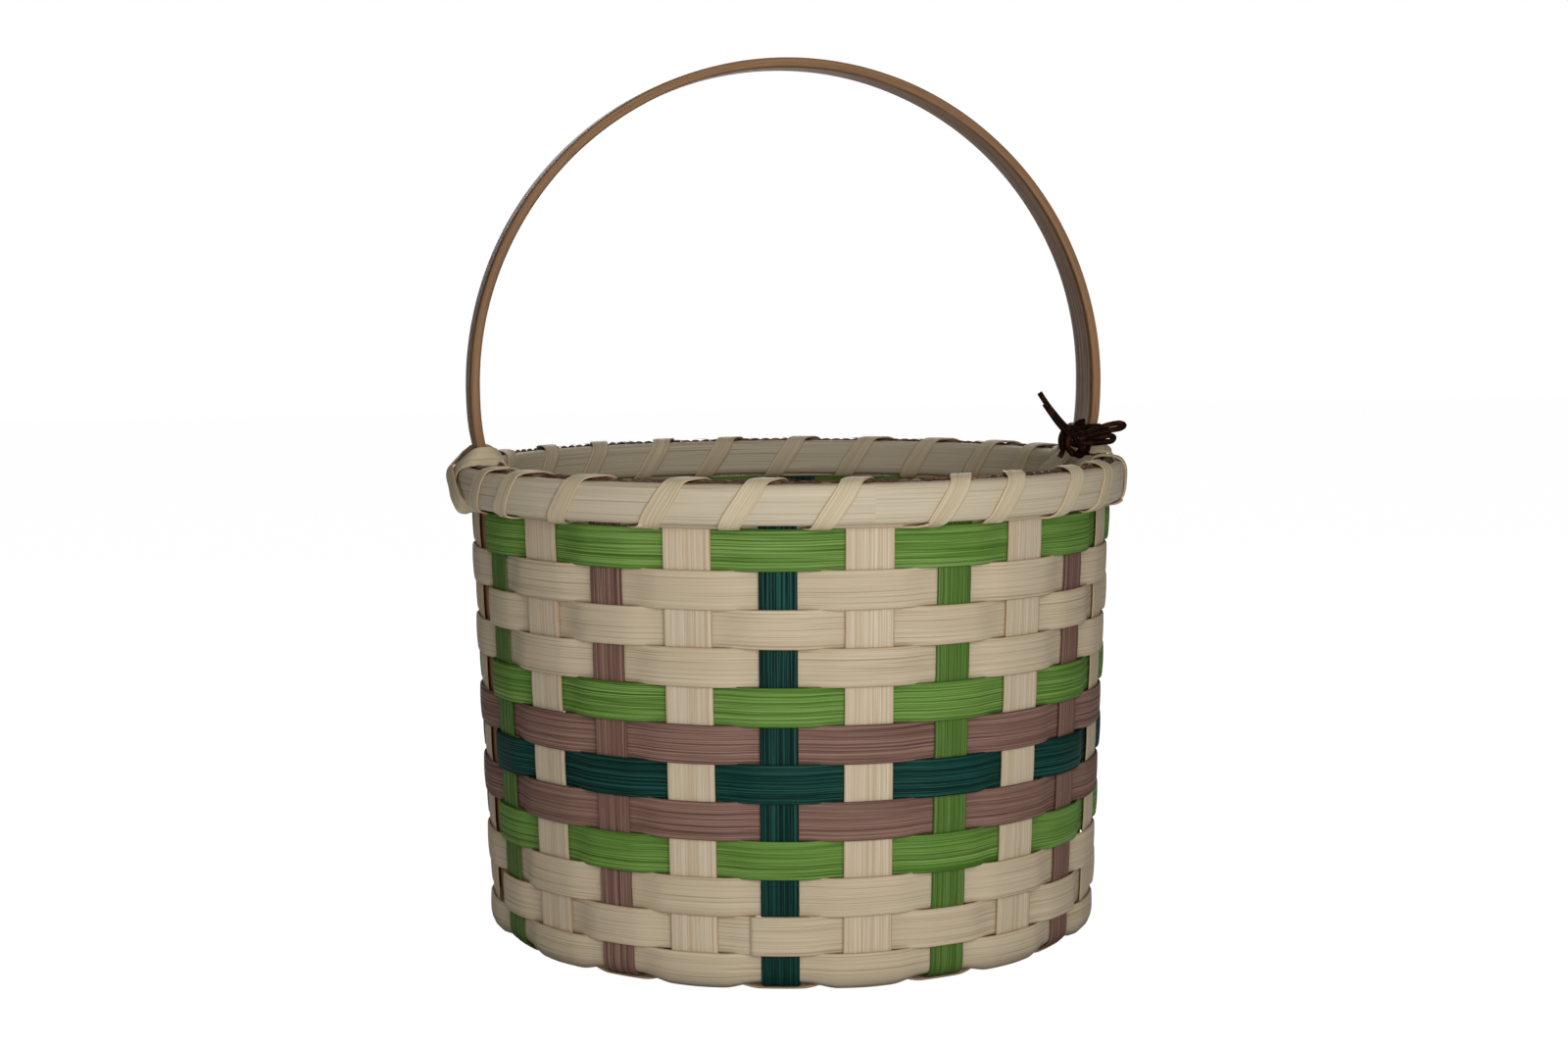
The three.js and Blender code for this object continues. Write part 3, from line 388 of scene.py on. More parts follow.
def fibre_group():
    """Split reed: fine fibres, broad streaks, clouds, ribs, and a few short dark splits, from the uv
    of the strip in cm. All but the ribs are noise drawn out along the strip. The ribs are a sine
    across it, v, of which the dark valleys are kept: valley = smoothstep(-0.5, -1, sin(2 pi n v))."""
    group = bpy.data.node_groups.new("reed_fibres", "ShaderNodeTree")
    group.interface.new_socket("Coordinates", in_out="INPUT", socket_type="NodeSocketVector")
    for name in ("Ribs per cm", "Rib strength"):
        group.interface.new_socket(name, in_out="INPUT", socket_type="NodeSocketFloat")
    for name in ("Fibres", "Streaks", "Clouds", "Splits", "Valleys", "Height"):
        group.interface.new_socket(name, in_out="OUTPUT", socket_type="NodeSocketFloat")
    given = group.nodes.new("NodeGroupInput").outputs
    put = group.nodes.new("NodeGroupOutput").inputs
    where = given["Coordinates"]
    fibres = stretched_noise(group, where, 0.1, 20, 3.0)
    streaks = stretched_noise(group, where, 0.06, 8, 1.0, 7.3)
    clouds = stretched_noise(group, where, 0.06, 0.5, 1.0, 3.1)
    splits = between(group, stretched_noise(group, where, 0.1, 22, 1.0, 21.7), 0.62, 0.69)
    across = add_node(group, "SeparateXYZ", {0: where}).outputs[1]
    wander = maths(group, "MULTIPLY", maths(group, "SUBTRACT", streaks, 0.5), 6.0)
    phase = maths(group, "MULTIPLY", maths(group, "MULTIPLY", across, given["Ribs per cm"]), 2 * math.pi)
    rib_wave = maths(group, "SINE", maths(group, "ADD", phase, wander))
    valleys = between(group, rib_wave, -1.0, -0.5, 1.0, 0.0)
    height = maths(group, "ADD", maths(group, "MULTIPLY", fibres, 0.6),
                   maths(group, "MULTIPLY", streaks, 0.5))
    height = maths(group, "SUBTRACT", height, maths(group, "MULTIPLY", valleys, given["Rib strength"]))
    height = maths(group, "SUBTRACT", height, maths(group, "MULTIPLY", splits, 0.5))
    for name, value in (("Fibres", fibres), ("Streaks", streaks), ("Clouds", clouds), ("Splits", splits),
                        ("Valleys", valleys), ("Height", height)):
        group.links.new(value, put[name])
    return group


reed_fibres = fibre_group()


def reed_finish(name, tones, edge_and_shade_tone, split_tone, ribs_per_cm=0.0, rib_strength=0.0, rib_tone=0.0,
                roughness=(0.52, 0.7), bump=0.3, split_share=0.6, specular=0.25, contrast=0.16):
    """Flat reed: three tones (dark, middle, light) mixed by streaks and fibres, an edge tone in the outer
    tenth of the width, which is partly the reed's warmer cut edge and partly painted shade along it, and
    splits. tones are linear colours. The lower contrast is, the sharper the streaks and fibres are told
    apart."""
    dark, middle, light = tones
    material, tree, uv = new_material(name)
    fibres = add_node(tree, "Group", node_tree=reed_fibres)
    tree.links.new(uv, fibres.inputs["Coordinates"])
    fibres.inputs["Ribs per cm"].default_value = ribs_per_cm
    fibres.inputs["Rib strength"].default_value = rib_strength
    out = fibres.outputs
    colour = mixed(tree, between(tree, out["Streaks"], 0.5 - contrast, 0.5 + contrast), dark, middle)
    colour = mixed(tree, between(tree, out["Fibres"], 0.5 - contrast / 2, 0.5 + contrast), colour, light)
    clouded = maths(tree, "MULTIPLY", between(tree, out["Clouds"], 0.3, 0.7), 0.45)
    colour = mixed(tree, clouded, colour, middle)
    if rib_tone:
        colour = mixed(tree, maths(tree, "MULTIPLY", out["Valleys"], rib_tone), colour, edge_and_shade_tone)
    edge = add_node(tree, "Attribute", attribute_name="edge").outputs["Fac"]
    # Painted shade: the outer tenth of the width goes over to the edge tone, shade painted along the edges
    # together with the reed's warmer cut edge.
    edge_shade_share = maths(tree, "MULTIPLY", between(tree, edge, 0.93, 0.99), 0.75)
    colour = mixed(tree, edge_shade_share, colour, edge_and_shade_tone)
    colour = mixed(tree, maths(tree, "MULTIPLY", out["Splits"], split_share), colour, split_tone)
    rough = between(tree, out["Fibres"], 0.3, 0.7, roughness[1], roughness[0])
    surface(tree, colour, rough, specular, out["Height"], bump, REED_RELIEF)
    return material


NATURAL_SPLIT = (0.33, 0.235, 0.14)
ribbed_natural = reed_finish(
    "ribbed_natural_reed", ((0.56, 0.44, 0.29), (0.62, 0.51, 0.36), (0.69, 0.59, 0.45)),
    (0.45, 0.30, 0.16), NATURAL_SPLIT, ribs_per_cm=6.5, rib_strength=0.7, rib_tone=0.36, split_share=0.3)


def stake_tube(angle, distance, half, thick, middle, ring, width, offset):
    """A stake as rings of points: flat across its width, at an angle, along distances."""
    across, share = ring
    depth = middle[:, None] + share * (thick[:, None] / 2)
    points = place(angle, distance[:, None], depth, half[:, None] * across)
    return points, strip_uv(distance, across * width / 2, offset), np.abs(across), False


def stake_bulge(distance, natural):
    """The small swing of a stake between its rows: out where a row passes inside it."""
    phase = math.pi * (ROWS_TOP - ROW_PITCH / 2 - distance) / ROW_PITCH
    fade = blend(0, 1, (distance - WALL_FOOT) / BULGE_RISE)
    fade = fade * blend(0, 1, (ROWS_TOP - distance) / BULGE_FALL)
    return STAKE_BULGE * np.cos(phase) * fade * (1 if natural else -1)


natural_ring = strip_ring(NATURAL_COLUMNS, RIB_HEIGHT, NATURAL_RIBS)
for number in range(STAKE_COUNT // 4):
    signed = np.linspace(-WALL_TOP, WALL_TOP, NATURAL_SAMPLES)
    distance = np.abs(signed)
    pared = np.clip(1 - (distance - PARED) / CROSSING_TAPER, 0, 1)
    layer = CROSSING_THICK / 2 + CLEARANCE + number * (CROSSING_THICK + CLEARANCE)
    middle = pared * (BASE_MIDDLE - layer) + (1 - pared) * stake_bulge(distance, True)
    thick = blend(STAKE_THICK, CROSSING_THICK, pared)
    tube = stake_tube(number * 2 * PITCH, signed, natural_half(distance), thick, middle, natural_ring,
                      NATURAL_WIDTH, 3.7 * number)
    finished_piece(f"reed_spoke_{number + 1}", [tube], ribbed_natural,
                   [f"natural_spoke_{number + 1}"])

# Dyed stakes: half-inch flat reed in lime, mauve and dark green, one between each two natural
# stakes. Each starts pointed under the base rows and ends between the rims.
DYED_WIDTH = 12.7
DYED_TIP_WIDTH = 4.4
DYED_RIBS = 9
DYED_RIB_HEIGHT = 0.03
DYED_COLUMNS = 19
DYED_SAMPLES = 150
DYES = {
    "lime": dict(tones=((0.065, 0.15, 0.018), (0.115, 0.235, 0.038), (0.23, 0.37, 0.10)),
                 edge_and_shade_tone=(0.05, 0.12, 0.014), split_tone=(0.03, 0.07, 0.012)),
    "mauve": dict(tones=((0.13, 0.068, 0.052), (0.215, 0.12, 0.094), (0.34, 0.205, 0.155)),
                  edge_and_shade_tone=(0.12, 0.06, 0.045), split_tone=(0.06, 0.03, 0.025)),
    "green": dict(tones=((0.001, 0.012, 0.010), (0.003, 0.032, 0.026), (0.02, 0.105, 0.08)),
                  edge_and_shade_tone=(0.003, 0.016, 0.014), split_tone=(0.002, 0.012, 0.01)),
}
# Painted shade: each dye's stakes wear its tones darkened by these shares, for the shade where they lie
# back between the rows.
STAKE_PAINTED_SHADES = {"lime": 0.68, "mauve": 0.93, "green": 0.78}


def dyed(name, look, shade):
    """A dyed reed whose tones are all darkened by a share: painted shade, given to the stakes where they
    lie back between the rows, while the rows take a share of 1.
    """
    return reed_finish(name, [[shade * part for part in tone] for tone in look["tones"]],
                       look["edge_and_shade_tone"], look["split_tone"], ribs_per_cm=5.5, rib_strength=0.15,
                       roughness=(0.5, 0.65), specular=0.08, contrast=0.1)


shaded_dyed_stake_finish = {dye: dyed(f"{dye}_stake_reed_painted_shade", look, STAKE_PAINTED_SHADES[dye])
                     for dye, look in DYES.items()}


def dyed_half(distance):
    """Half the width of a dyed stake: pointed at its tucked end."""
    return blend(DYED_TIP_WIDTH, DYED_WIDTH, (distance - DYED_START) / STAKE_TAPER) / 2


dyed_ring = strip_ring(DYED_COLUMNS, DYED_RIB_HEIGHT, DYED_RIBS)
for number in range(STAKE_COUNT // 2):
    dye = ("lime", "mauve", "green")[number % 3]
    distance = np.linspace(DYED_START, WALL_TOP, DYED_SAMPLES)
    thick = np.full_like(distance, STAKE_THICK)
    tube = stake_tube((2 * number + 1) * PITCH, distance, dyed_half(distance), thick,
                      stake_bulge(distance, False), dyed_ring, DYED_WIDTH, 40 + 5.3 * number)
    finished_piece(f"{dye}_reed_stake_{number // 3 + 1}", [tube], shaded_dyed_stake_finish[dye],
                   [f"{dye}_stake_{number // 3 + 1}"])

# Wall weavers: thirteen closed rows of half-inch flat reed, over one stake and under the next,
# each with its own lap. The first row is narrow and hidden between the rims.
WALL_DYES = ("natural", "lime", "natural", "natural", "natural", "lime", "mauve", "green", "mauve",
             "lime", "natural", "natural", "natural")
WALL_LAPS = (5, 16, 9, 12, 13, 8, 11, 14, 7, 10, 15, 23, 9)
WEAVER_THICK = 1.0
ROW_WIDTH = 12.6
ROW_PRESSED = 0.3
RIM_ROW_WIDTH = 10.9
FIRST_ROW_LIFT = 0.9
FOOT_LIFT = 1.45
STAKE_MARGIN = 0.35
SNUG_LAYER = 1.12
BELLY = 0.5
HANDLE_WIDTH = 18
HANDLE_THICK = 3.8
HANDLE_TIP_THICK = 2.2
TAIL_BOTTOM = 121.37
LAP_REACH = 3.2
LAP_PARING = 5.0
LAP_LIFT = 0.15
LEAST_ROOM = 0.3
ROW_COLUMNS = 9
ROW_STEP = math.radians(0.7)

plain_natural = reed_finish(
    "natural_reed", ((0.53, 0.42, 0.275), (0.58, 0.475, 0.325), (0.64, 0.54, 0.39)),
    (0.42, 0.28, 0.14), NATURAL_SPLIT)
row_finish = {dye: dyed(f"{dye}_reed", look, 1) for dye, look in DYES.items()}
row_finish["natural"] = plain_natural
random = np.random.default_rng(11)


def tail_thick(distance):
    """Thickness of the handle's tail, which gets thinner from the rim down to its tip."""
    return blend(HANDLE_TIP_THICK, HANDLE_THICK, (distance - TAIL_BOTTOM) / (WALL_TOP - TAIL_BOTTOM))


def woven_row(lower, upper, outside, lap, margin, posts, offset, belly=0.0, step=ROW_STEP, sway=0.05):
    """A weaver as rings of points. Over each stake its depth is level, and between two stakes it
    goes from one depth to the other along half a cosine. Outside a stake it stands off a little in
    the middle, by belly times a squared cosine. Its two ends lie on each other."""
    pitch = 2 * math.pi / posts
    number = np.arange(posts)
    natural = (number % 2 == 0) | (posts < STAKE_COUNT)
    out = outside(number)
    at_handle = (number % (STAKE_COUNT // 2) == STAKE_COUNT // 4) & (posts == STAKE_COUNT)
    tail = at_handle & ~out & (upper > TAIL_BOTTOM)
    depths = np.where(out, SNUG_LAYER, -SNUG_LAYER - tail * (tail_thick(upper) + CLEARANCE))
    across, share = row_ring
    middle = (upper + lower) / 2
    middle_radius = bowl(middle)[0]
    lap_half = (natural_half(middle) if natural[lap] else dyed_half(middle)) + margin + LAP_REACH
    reach = lap_half / middle_radius
    angle = np.arange(lap * pitch - reach, lap * pitch + 2 * math.pi + reach + step / 2, step)[:, None]
    # Slow waves make the row wander and its width vary a little, as by hand.
    wave = random.uniform(0, 2 * math.pi, 4)
    drift = sway * (np.sin(5 * angle + wave[0]) + 0.6 * np.sin(13 * angle + wave[1]))
    wide = 1 + 0.006 * np.sin(7 * angle + wave[2]) + 0.004 * np.sin(17 * angle + wave[3])
    distance = middle + drift + (upper - lower) / 2 * across * wide
    radius = bowl(distance)[0]
    gap = np.floor(angle / pitch).astype(int)
    here, there = gap % posts, (gap + 1) % posts

    def level(post):
        half = np.where(natural[post], natural_half(distance), dyed_half(distance))
        return np.where(tail[post] & (distance > TAIL_BOTTOM), HANDLE_WIDTH / 2, half) + margin

    run = (angle / pitch - gap) * pitch * radius
    room = np.maximum(pitch * radius - level(here) - level(there), LEAST_ROOM)
    eased = (1 - np.cos(math.pi * np.clip((run - level(here)) / room, 0, 1))) / 2
    depth = depths[here] + (depths[there] - depths[here]) * eased
    nearest = np.round(angle / pitch).astype(int)
    swing = np.cos(math.pi * (angle / pitch - nearest)) ** 2
    depth = depth + belly * out[nearest % posts] * swing * (1 - 0.6 * across ** 2)
    from_start = (angle - angle[0]) * middle_radius
    from_end = (angle[-1] - angle) * middle_radius
    seam, face = CLEARANCE / 2, WEAVER_THICK / 2
    lapped = 2 * lap_half
    inner = blend(seam, -face, (from_start - lapped) / LAP_PARING)
    outer = blend(-seam, face, (from_end - lapped) / LAP_PARING)
    outer = outer + LAP_LIFT * np.clip(1 - from_start / lapped, 0, 1)
    points = place(angle, distance, depth + (outer + inner) / 2 + (outer - inner) / 2 * share)
    uv = strip_uv(angle[:, 0] * middle_radius, across * (upper - lower) / 2, offset)
    return points, uv, np.abs(across), False


def outside_of(row):
    """Odd rows go outside the dyed stakes and even rows outside the natural ones."""
    return lambda post: (post % 2 == 0) == (row % 2 == 0)


row_ring = strip_ring(ROW_COLUMNS)
for row, (dye, lap) in enumerate(zip(WALL_DYES, WALL_LAPS)):
    upper = WALL_TOP - CLEARANCE if row == 0 else ROWS_TOP - (row - 1) * ROW_PITCH
    foot_lift = FOOT_LIFT if row == len(WALL_DYES) - 1 else 0
    lower = upper - (ROW_WIDTH if row else RIM_ROW_WIDTH) + foot_lift
    pressed = ROW_PRESSED if row else 0
    lift = FIRST_ROW_LIFT if row == 1 else 0
    tube = woven_row(lower - pressed, upper + pressed + lift, outside_of(row), lap, STAKE_MARGIN,
                     STAKE_COUNT, 80 + 9.1 * row, BELLY if row else 0)
    finished_piece(f"wall_weaver_{row:02d}", [tube], row_finish[dye], [f"wall_row_{row:02d}"])

# Foot and base weavers: natural reed, one row at the corner, four wide and two narrow ones inside
# it, and two more round the spokes alone. The basket stands on them.
BASE_ROWS = ((106.2, 95.25), (94.95, 85.45), (85.15, 75.65), (75.35, 65.85), (65.55, 56.05),
             (55.75, 49.35), (49.05, 42.65), (42.35, 35.95), (35.65, 29.25))
FULL_WIDTH = DYED_START + STAKE_TAPER
BASE_MARGIN = 0.5
CORE_POSTS = 12
FIRST_CORE_ROW = 7
BASE_LAP_START = 2
BASE_LAP_STEP = 5

for i, (upper, lower) in enumerate(BASE_ROWS):
    core = i >= FIRST_CORE_ROW
    posts = CORE_POSTS if core else STAKE_COUNT
    outside = (lambda post, i=i: post % 2 == i % 2) if core else outside_of(len(WALL_DYES) + i)
    margin = STAKE_MARGIN if lower > FULL_WIDTH else BASE_MARGIN
    lap = (BASE_LAP_START + BASE_LAP_STEP * i) % posts
    tube = woven_row(lower - ROW_PRESSED, upper + ROW_PRESSED, outside, lap, margin, posts,
                     210 + 9.1 * i, sway=0.03)
    name, node = (f"base_weaver_{i}", f"base_row_{i}") if i else ("foot_weaver", "foot_row")
    finished_piece(name, [tube], plain_natural, [node])

# Rims: two bands of flat-oval reed, flat towards the wall and rounded away from it. The inner one
# steps inwards over the handle's tails.
RIM_HEIGHT = 13.6
RIM_MIDDLE = 268.85
OUTER_RIM_THICK = 4.0
INNER_RIM_THICK = 3.4
INNER_RIM_FACE = 2.1
OUTER_RIM_FACE = 2.6
TAIL_OUTSIDE = STAKE_THICK / 2 + CLEARANCE
HANDLE_INSIDE = TAIL_OUTSIDE + HANDLE_THICK + CLEARANCE
LASH_ARM = float(bowl(RIM_MIDDLE)[0]) + OUTER_RIM_FACE
SWELL_EDGE = 1.5
SWELL_FADE = 15
OVAL_POWER = 3.3
OVAL_SIDES = 33
FLAT_SIDES = 9
FLAT_SHARE = 0.97
FLAT_ROUNDING = 0.25
RIM_STATIONS = 361

rim_finish = reed_finish("rim_reed", ((0.55, 0.465, 0.325), (0.59, 0.505, 0.365), (0.63, 0.55, 0.415)),
                         (0.47, 0.32, 0.17), (0.36, 0.26, 0.16), bump=0.2)


def swell(angle):
    """How far the inner rim is pushed in by a handle tail: half a cosine beside the tail."""
    away = np.arcsin(np.abs(np.cos(angle))) * LASH_ARM
    share = np.clip((away - HANDLE_WIDTH / 2 - SWELL_EDGE) / SWELL_FADE, 0, 1)
    return (HANDLE_INSIDE - INNER_RIM_FACE) * (1 + np.cos(math.pi * share)) / 2


def oval_rim(face, thick, direction, offset):
    """A rim as rings of points: its outline is half a superellipse, |x|^p + |y|^p = 1, with the
    flat side's corners rounded a little."""
    turn = np.radians(np.linspace(-90, 90, OVAL_SIDES))
    out = rounded(np.cos(turn), 2 / OVAL_POWER) * thick
    high = rounded(np.sin(turn), 2 / OVAL_POWER) * RIM_HEIGHT / 2
    back = np.linspace(FLAT_SHARE, -FLAT_SHARE, FLAT_SIDES) * RIM_HEIGHT / 2
    out = np.concatenate([out + FLAT_ROUNDING, np.zeros(FLAT_SIDES)]).clip(0, thick)
    high = np.concatenate([high, back])
    once_round = np.linspace(0, 2 * math.pi, RIM_STATIONS)
    angle = once_round[:-1, None]
    push = swell(angle) if direction < 0 else 0
    wave = random.uniform(0, 2 * math.pi, 2)
    waver = 0.12 * np.sin(9 * angle + wave[0]) + 0.08 * np.sin(23 * angle + wave[1])
    depth = direction * (face + push + out * (1 + 0.03 * waver))
    points = place(angle, RIM_MIDDLE + high * (1 + 0.004 * waver), depth)
    around = gone(np.stack([high, out], axis=1))
    # The rim's top and bottom edges take the edge tone: painted shade along them, with the reed's warmer
    # edge colour.
    mark = np.clip(np.abs(high) / (RIM_HEIGHT / 2), 0, 1)
    return points, strip_uv(once_round * LASH_ARM, around, offset), mark, True


for rim, face, thick, direction, offset in (("outer_rim", OUTER_RIM_FACE, OUTER_RIM_THICK, 1, 310),
                                            ("inner_rim", INNER_RIM_FACE, INNER_RIM_THICK, -1, 361)):
    finished_piece(f"{rim}_reed", [oval_rim(face, thick, direction, offset)], rim_finish, [rim])

# Rim filler: brown grass cord of three plies twisted together, laid on the stake tops between the
# rims in two lengths. Loose fibres stand off it.
FILLER_DIAMETER = 4.3
FILLER_PLIES = 3
FILLER_PLY = 1.16
FILLER_LAY = 13.0
FILLER_OUT = 0.25
FILLER_SAMPLES = 620
FILLER_END_ROOM = 1.5
LASH_THICK = 0.9
FILLER_END = (HANDLE_WIDTH / 2 + LASH_THICK + 3 * CLEARANCE + FILLER_END_ROOM) / LASH_ARM
PLY_SIDES = 9
PLY_TWIST = 0.9
LOOSE_FIBRES = 70
FIBRE_SIDES = 4
CORD_RELIEF = 0.0003


def fibre_material(name, tones, roughness, along, across, bump, specular=0.5):
    """Cord and fibre: noise drawn out along the uv, from a dark tone to a light one."""
    material, tree, uv = new_material(name)
    strands = stretched_noise(tree, uv, along, across, 2.0)
    patches = stretched_noise(tree, uv, along * 0.3, across * 0.2, 1.0, 5.0)
    colour = mixed(tree, between(tree, strands, 0.35, 0.7), tones[0], tones[1])
    colour = mixed(tree, between(tree, patches, 0.5, 0.8), colour, tones[2])
    rough = between(tree, strands, 0.3, 0.7, roughness[0], roughness[1])
    surface(tree, colour, rough, specular, strands, bump, CORD_RELIEF)
    return material


def round_tube(path, radius, sides, offset, twist=0.0):
    """A tube round a path: each ring is a circle square to the path, in the frame made by the path's
    own direction and the direction that the whole path is flattest in."""
    path = np.asarray(path, float)
    run = unit(np.gradient(path, axis=0))
    flattest = np.linalg.svd(run)[2][-1]
    side = unit(np.cross(run, flattest))
    lift = np.cross(side, run)
    along = gone(path)
    turn = np.linspace(0, 2 * math.pi, sides, endpoint=False)
    radius = np.broadcast_to(radius, len(path))[:, None, None]
    sideways = np.cos(turn)[None, :, None] * side[:, None]
    points = path[:, None] + radius * (sideways + np.sin(turn)[None, :, None] * lift[:, None])
    around = np.linspace(0, 1, sides + 1)
    u, v = np.meshgrid(along * CM + offset, around, indexing="ij")
    v = v + u * twist
    return points, np.stack([u, v], axis=-1), np.zeros(sides), False


def filler_tubes(middle_angle, offset):
    """Plies wound round the cord's middle line in a helix, then the loose fibres."""
    span = math.pi / 2 - FILLER_END
    angle = np.linspace(middle_angle - span, middle_angle + span, FILLER_SAMPLES)
    height = WALL_TOP + CLEARANCE + FILLER_DIAMETER / 2
    wind = 2 * math.pi * angle * LASH_ARM / FILLER_LAY
    wander = 0.12 * np.sin(11 * angle)
    tubes = []
    for ply in range(FILLER_PLIES):
        turn = wind + ply * 2 * math.pi / FILLER_PLIES
        path = place(angle, height + FILLER_PLY * np.sin(turn) + wander,
                     FILLER_OUT + FILLER_PLY * np.cos(turn))
        tubes.append(round_tube(path, FILLER_PLY, PLY_SIDES, offset + 50 * ply, PLY_TWIST))
    for _ in range(LOOSE_FIBRES):
        start = random.uniform(middle_angle - span * 0.98, middle_angle + span * 0.98)
        reach, lift, lean = random.uniform(2, 9), random.uniform(0.3, 1.7), random.uniform(-1.0, 1.2)
        share = np.linspace(0, 1, 7)
        along = start + reach * share / LASH_ARM
        rise = height + FILLER_DIAMETER / 2 - 0.25 + lift * share ** 1.5 * np.sin(1.6 + share)
        path = place(along, rise, FILLER_OUT + lean * share)
        tubes.append(round_tube(path, blend(0.12, 0.04, share), FIBRE_SIDES, offset + start))
    return tubes


GRASS_TONES = ((0.06, 0.03, 0.015), (0.17, 0.095, 0.05), (0.30, 0.19, 0.11))
grass_finish = fibre_material("grass_cord", GRASS_TONES, (0.75, 0.95), 1.6, 9.0, 0.9, 0.2)
for half, middle_angle, offset in (("front", 0.0, 420), ("back", math.pi, 540)):
    finished_piece(f"grass_filler_{half}", filler_tubes(middle_angle, offset), grass_finish,
                   [f"rim_filler_{half}"])

# Handle: one strap of oak, steam-bent to an arch and rounded along its edges. Its tails go down
# inside the wall, each behind a stake.
RIM_TOP = 275.65
HANDLE_SPREAD = 2.7
HANDLE_ROUNDING = 6
HANDLE_SIDES = 64
TAIL_STATIONS = 50
SHOULDER_STATIONS = 17
ARCH_STATIONS = 73
SHOULDER_RISE = 27.8
LEG_SWELL = 0.1
LEG_SWELL_FOOT = 178
LEG_SWELL_FADE = 8
LEG_SWELL_TOP = 245
LEG_SWELL_RUN = 45


leg_top = place(math.pi / 2, RIM_TOP, -TAIL_OUTSIDE - HANDLE_THICK / 2)
ARCH_RADIUS = float(leg_top[0]) + HANDLE_SPREAD
SPRING_HEIGHT = float(leg_top[2]) + SHOULDER_RISE


def handle_side():
    """The middle line of the right half, from the tip of its tail to the top, with its lean and
    thickness: a straight tail, a shoulder that is a cubic curve, and a quarter circle."""
    distance = np.linspace(TAIL_BOTTOM, RIM_TOP, TAIL_STATIONS)
    thick = tail_thick(distance)
    tail = place(math.pi / 2, distance, -TAIL_OUTSIDE - thick / 2)[:, [0, 2]]
    share = np.linspace(0, 1, SHOULDER_STATIONS)[1:-1, None]
    third = SHOULDER_RISE / 3
    a = np.array([leg_top[0], leg_top[2]])
    b = a + third * np.array([math.sin(FLARE), math.cos(FLARE)])
    d = np.array([ARCH_RADIUS, SPRING_HEIGHT])
    c = d - np.array([0, 2 * third])
    shoulder = ((1 - share) ** 3 * a + 3 * share * (1 - share) ** 2 * b
                + 3 * share ** 2 * (1 - share) * c + share ** 3 * d)
    turn = np.linspace(0, math.pi / 2, ARCH_STATIONS)
    arch = np.stack([ARCH_RADIUS * np.cos(turn), SPRING_HEIGHT + ARCH_RADIUS * np.sin(turn)], axis=1)
    line = np.concatenate([tail, shoulder, arch])
    thick = np.concatenate([thick, np.full(len(line) - len(thick), HANDLE_THICK)])
    run = np.gradient(line, axis=0)
    run[-1] = (-1, 0)
    return line, np.arctan2(run[:, 0], run[:, 1]), thick


def oak_strap():
    """The handle as rings of points: a rounded rectangle carried along the arch, with a slow waver in
    its thickness and width as a drawknife leaves."""
    line, lean, thick = handle_side()

    def whole(half, sign=1):
        """Values of the right half, then those of the left half from the top down."""
        return np.concatenate([half, sign * half[-2::-1]])[:, None]

    x, z, outward_x = whole(line[:, 0], -1), whole(line[:, 1]), whole(np.ones(len(line)), -1)
    lean, thick = whole(lean), whole(thick)
    along = gone(np.concatenate([x, z], axis=1))
    turn = np.linspace(0, 2 * math.pi, HANDLE_SIDES, endpoint=False)
    across, out = (rounded(wave(turn), 2 / HANDLE_ROUNDING) for wave in (np.cos, np.sin))
    waver = 1 + 0.02 * np.sin(along / 23)[:, None] + 0.015 * np.sin(along / 9.7 + 1)[:, None]
    depth = out * thick / 2 * waver
    leg = blend(0, LEG_SWELL, (LEG_SWELL_TOP - z) / LEG_SWELL_RUN)
    leg = leg * blend(0, 1, (z - LEG_SWELL_FOOT) / LEG_SWELL_FADE)
    wide = across * HANDLE_WIDTH / 2 * (1 + leg + 0.006 * np.sin(along / 31)[:, None])
    points = np.stack(np.broadcast_arrays(
        x + outward_x * depth * np.cos(lean), wide, z - depth * np.sin(lean)), axis=-1)
    ring_run = gone(np.stack([across * HANDLE_WIDTH / 2, out * HANDLE_THICK / 2], axis=1))
    return points, strip_uv(along, ring_run, 600), np.clip(np.abs(across), 0, 1), False


def oak_finish():
    """Oak: long growth lines and short dark pores drawn out along the strap, warm and oiled, with paler
    edges: painted light on the strap's narrow sides."""
    material, tree, uv = new_material("bent_oak")
    growth = stretched_noise(tree, uv, 0.09, 5.0, 3.0)
    pores = between(tree, stretched_noise(tree, uv, 0.8, 16, 1.0, 4.0), 0.6, 0.74)
    patches = stretched_noise(tree, uv, 0.12, 0.5, 1.0, 9.0)
    colour = mixed(tree, between(tree, growth, 0.3, 0.7), (0.14, 0.06, 0.021), (0.30, 0.145, 0.056))
    colour = mixed(tree, between(tree, patches, 0.45, 0.8, 0, 0.5), colour, (0.34, 0.175, 0.073))
    colour = mixed(tree, maths(tree, "MULTIPLY", pores, 0.6), colour, (0.07, 0.028, 0.012))
    edge = add_node(tree, "Attribute", attribute_name="edge").outputs["Fac"]
    # Painted light: the strap's narrow edges are made paler, as where they face the lamps.
    colour = mixed(tree, between(tree, edge, 0.90, 0.995, 0, 0.45), colour, (0.36, 0.215, 0.115))
    height = maths(tree, "SUBTRACT", maths(tree, "MULTIPLY", growth, 0.6), pores)
    surface(tree, colour, between(tree, growth, 0.3, 0.7, 0.6, 0.48), 0.2, height, 0.05, REED_RELIEF)
    return material


finished_piece("bent_oak_strap", [oak_strap()], oak_finish(), ["oak_handle"])

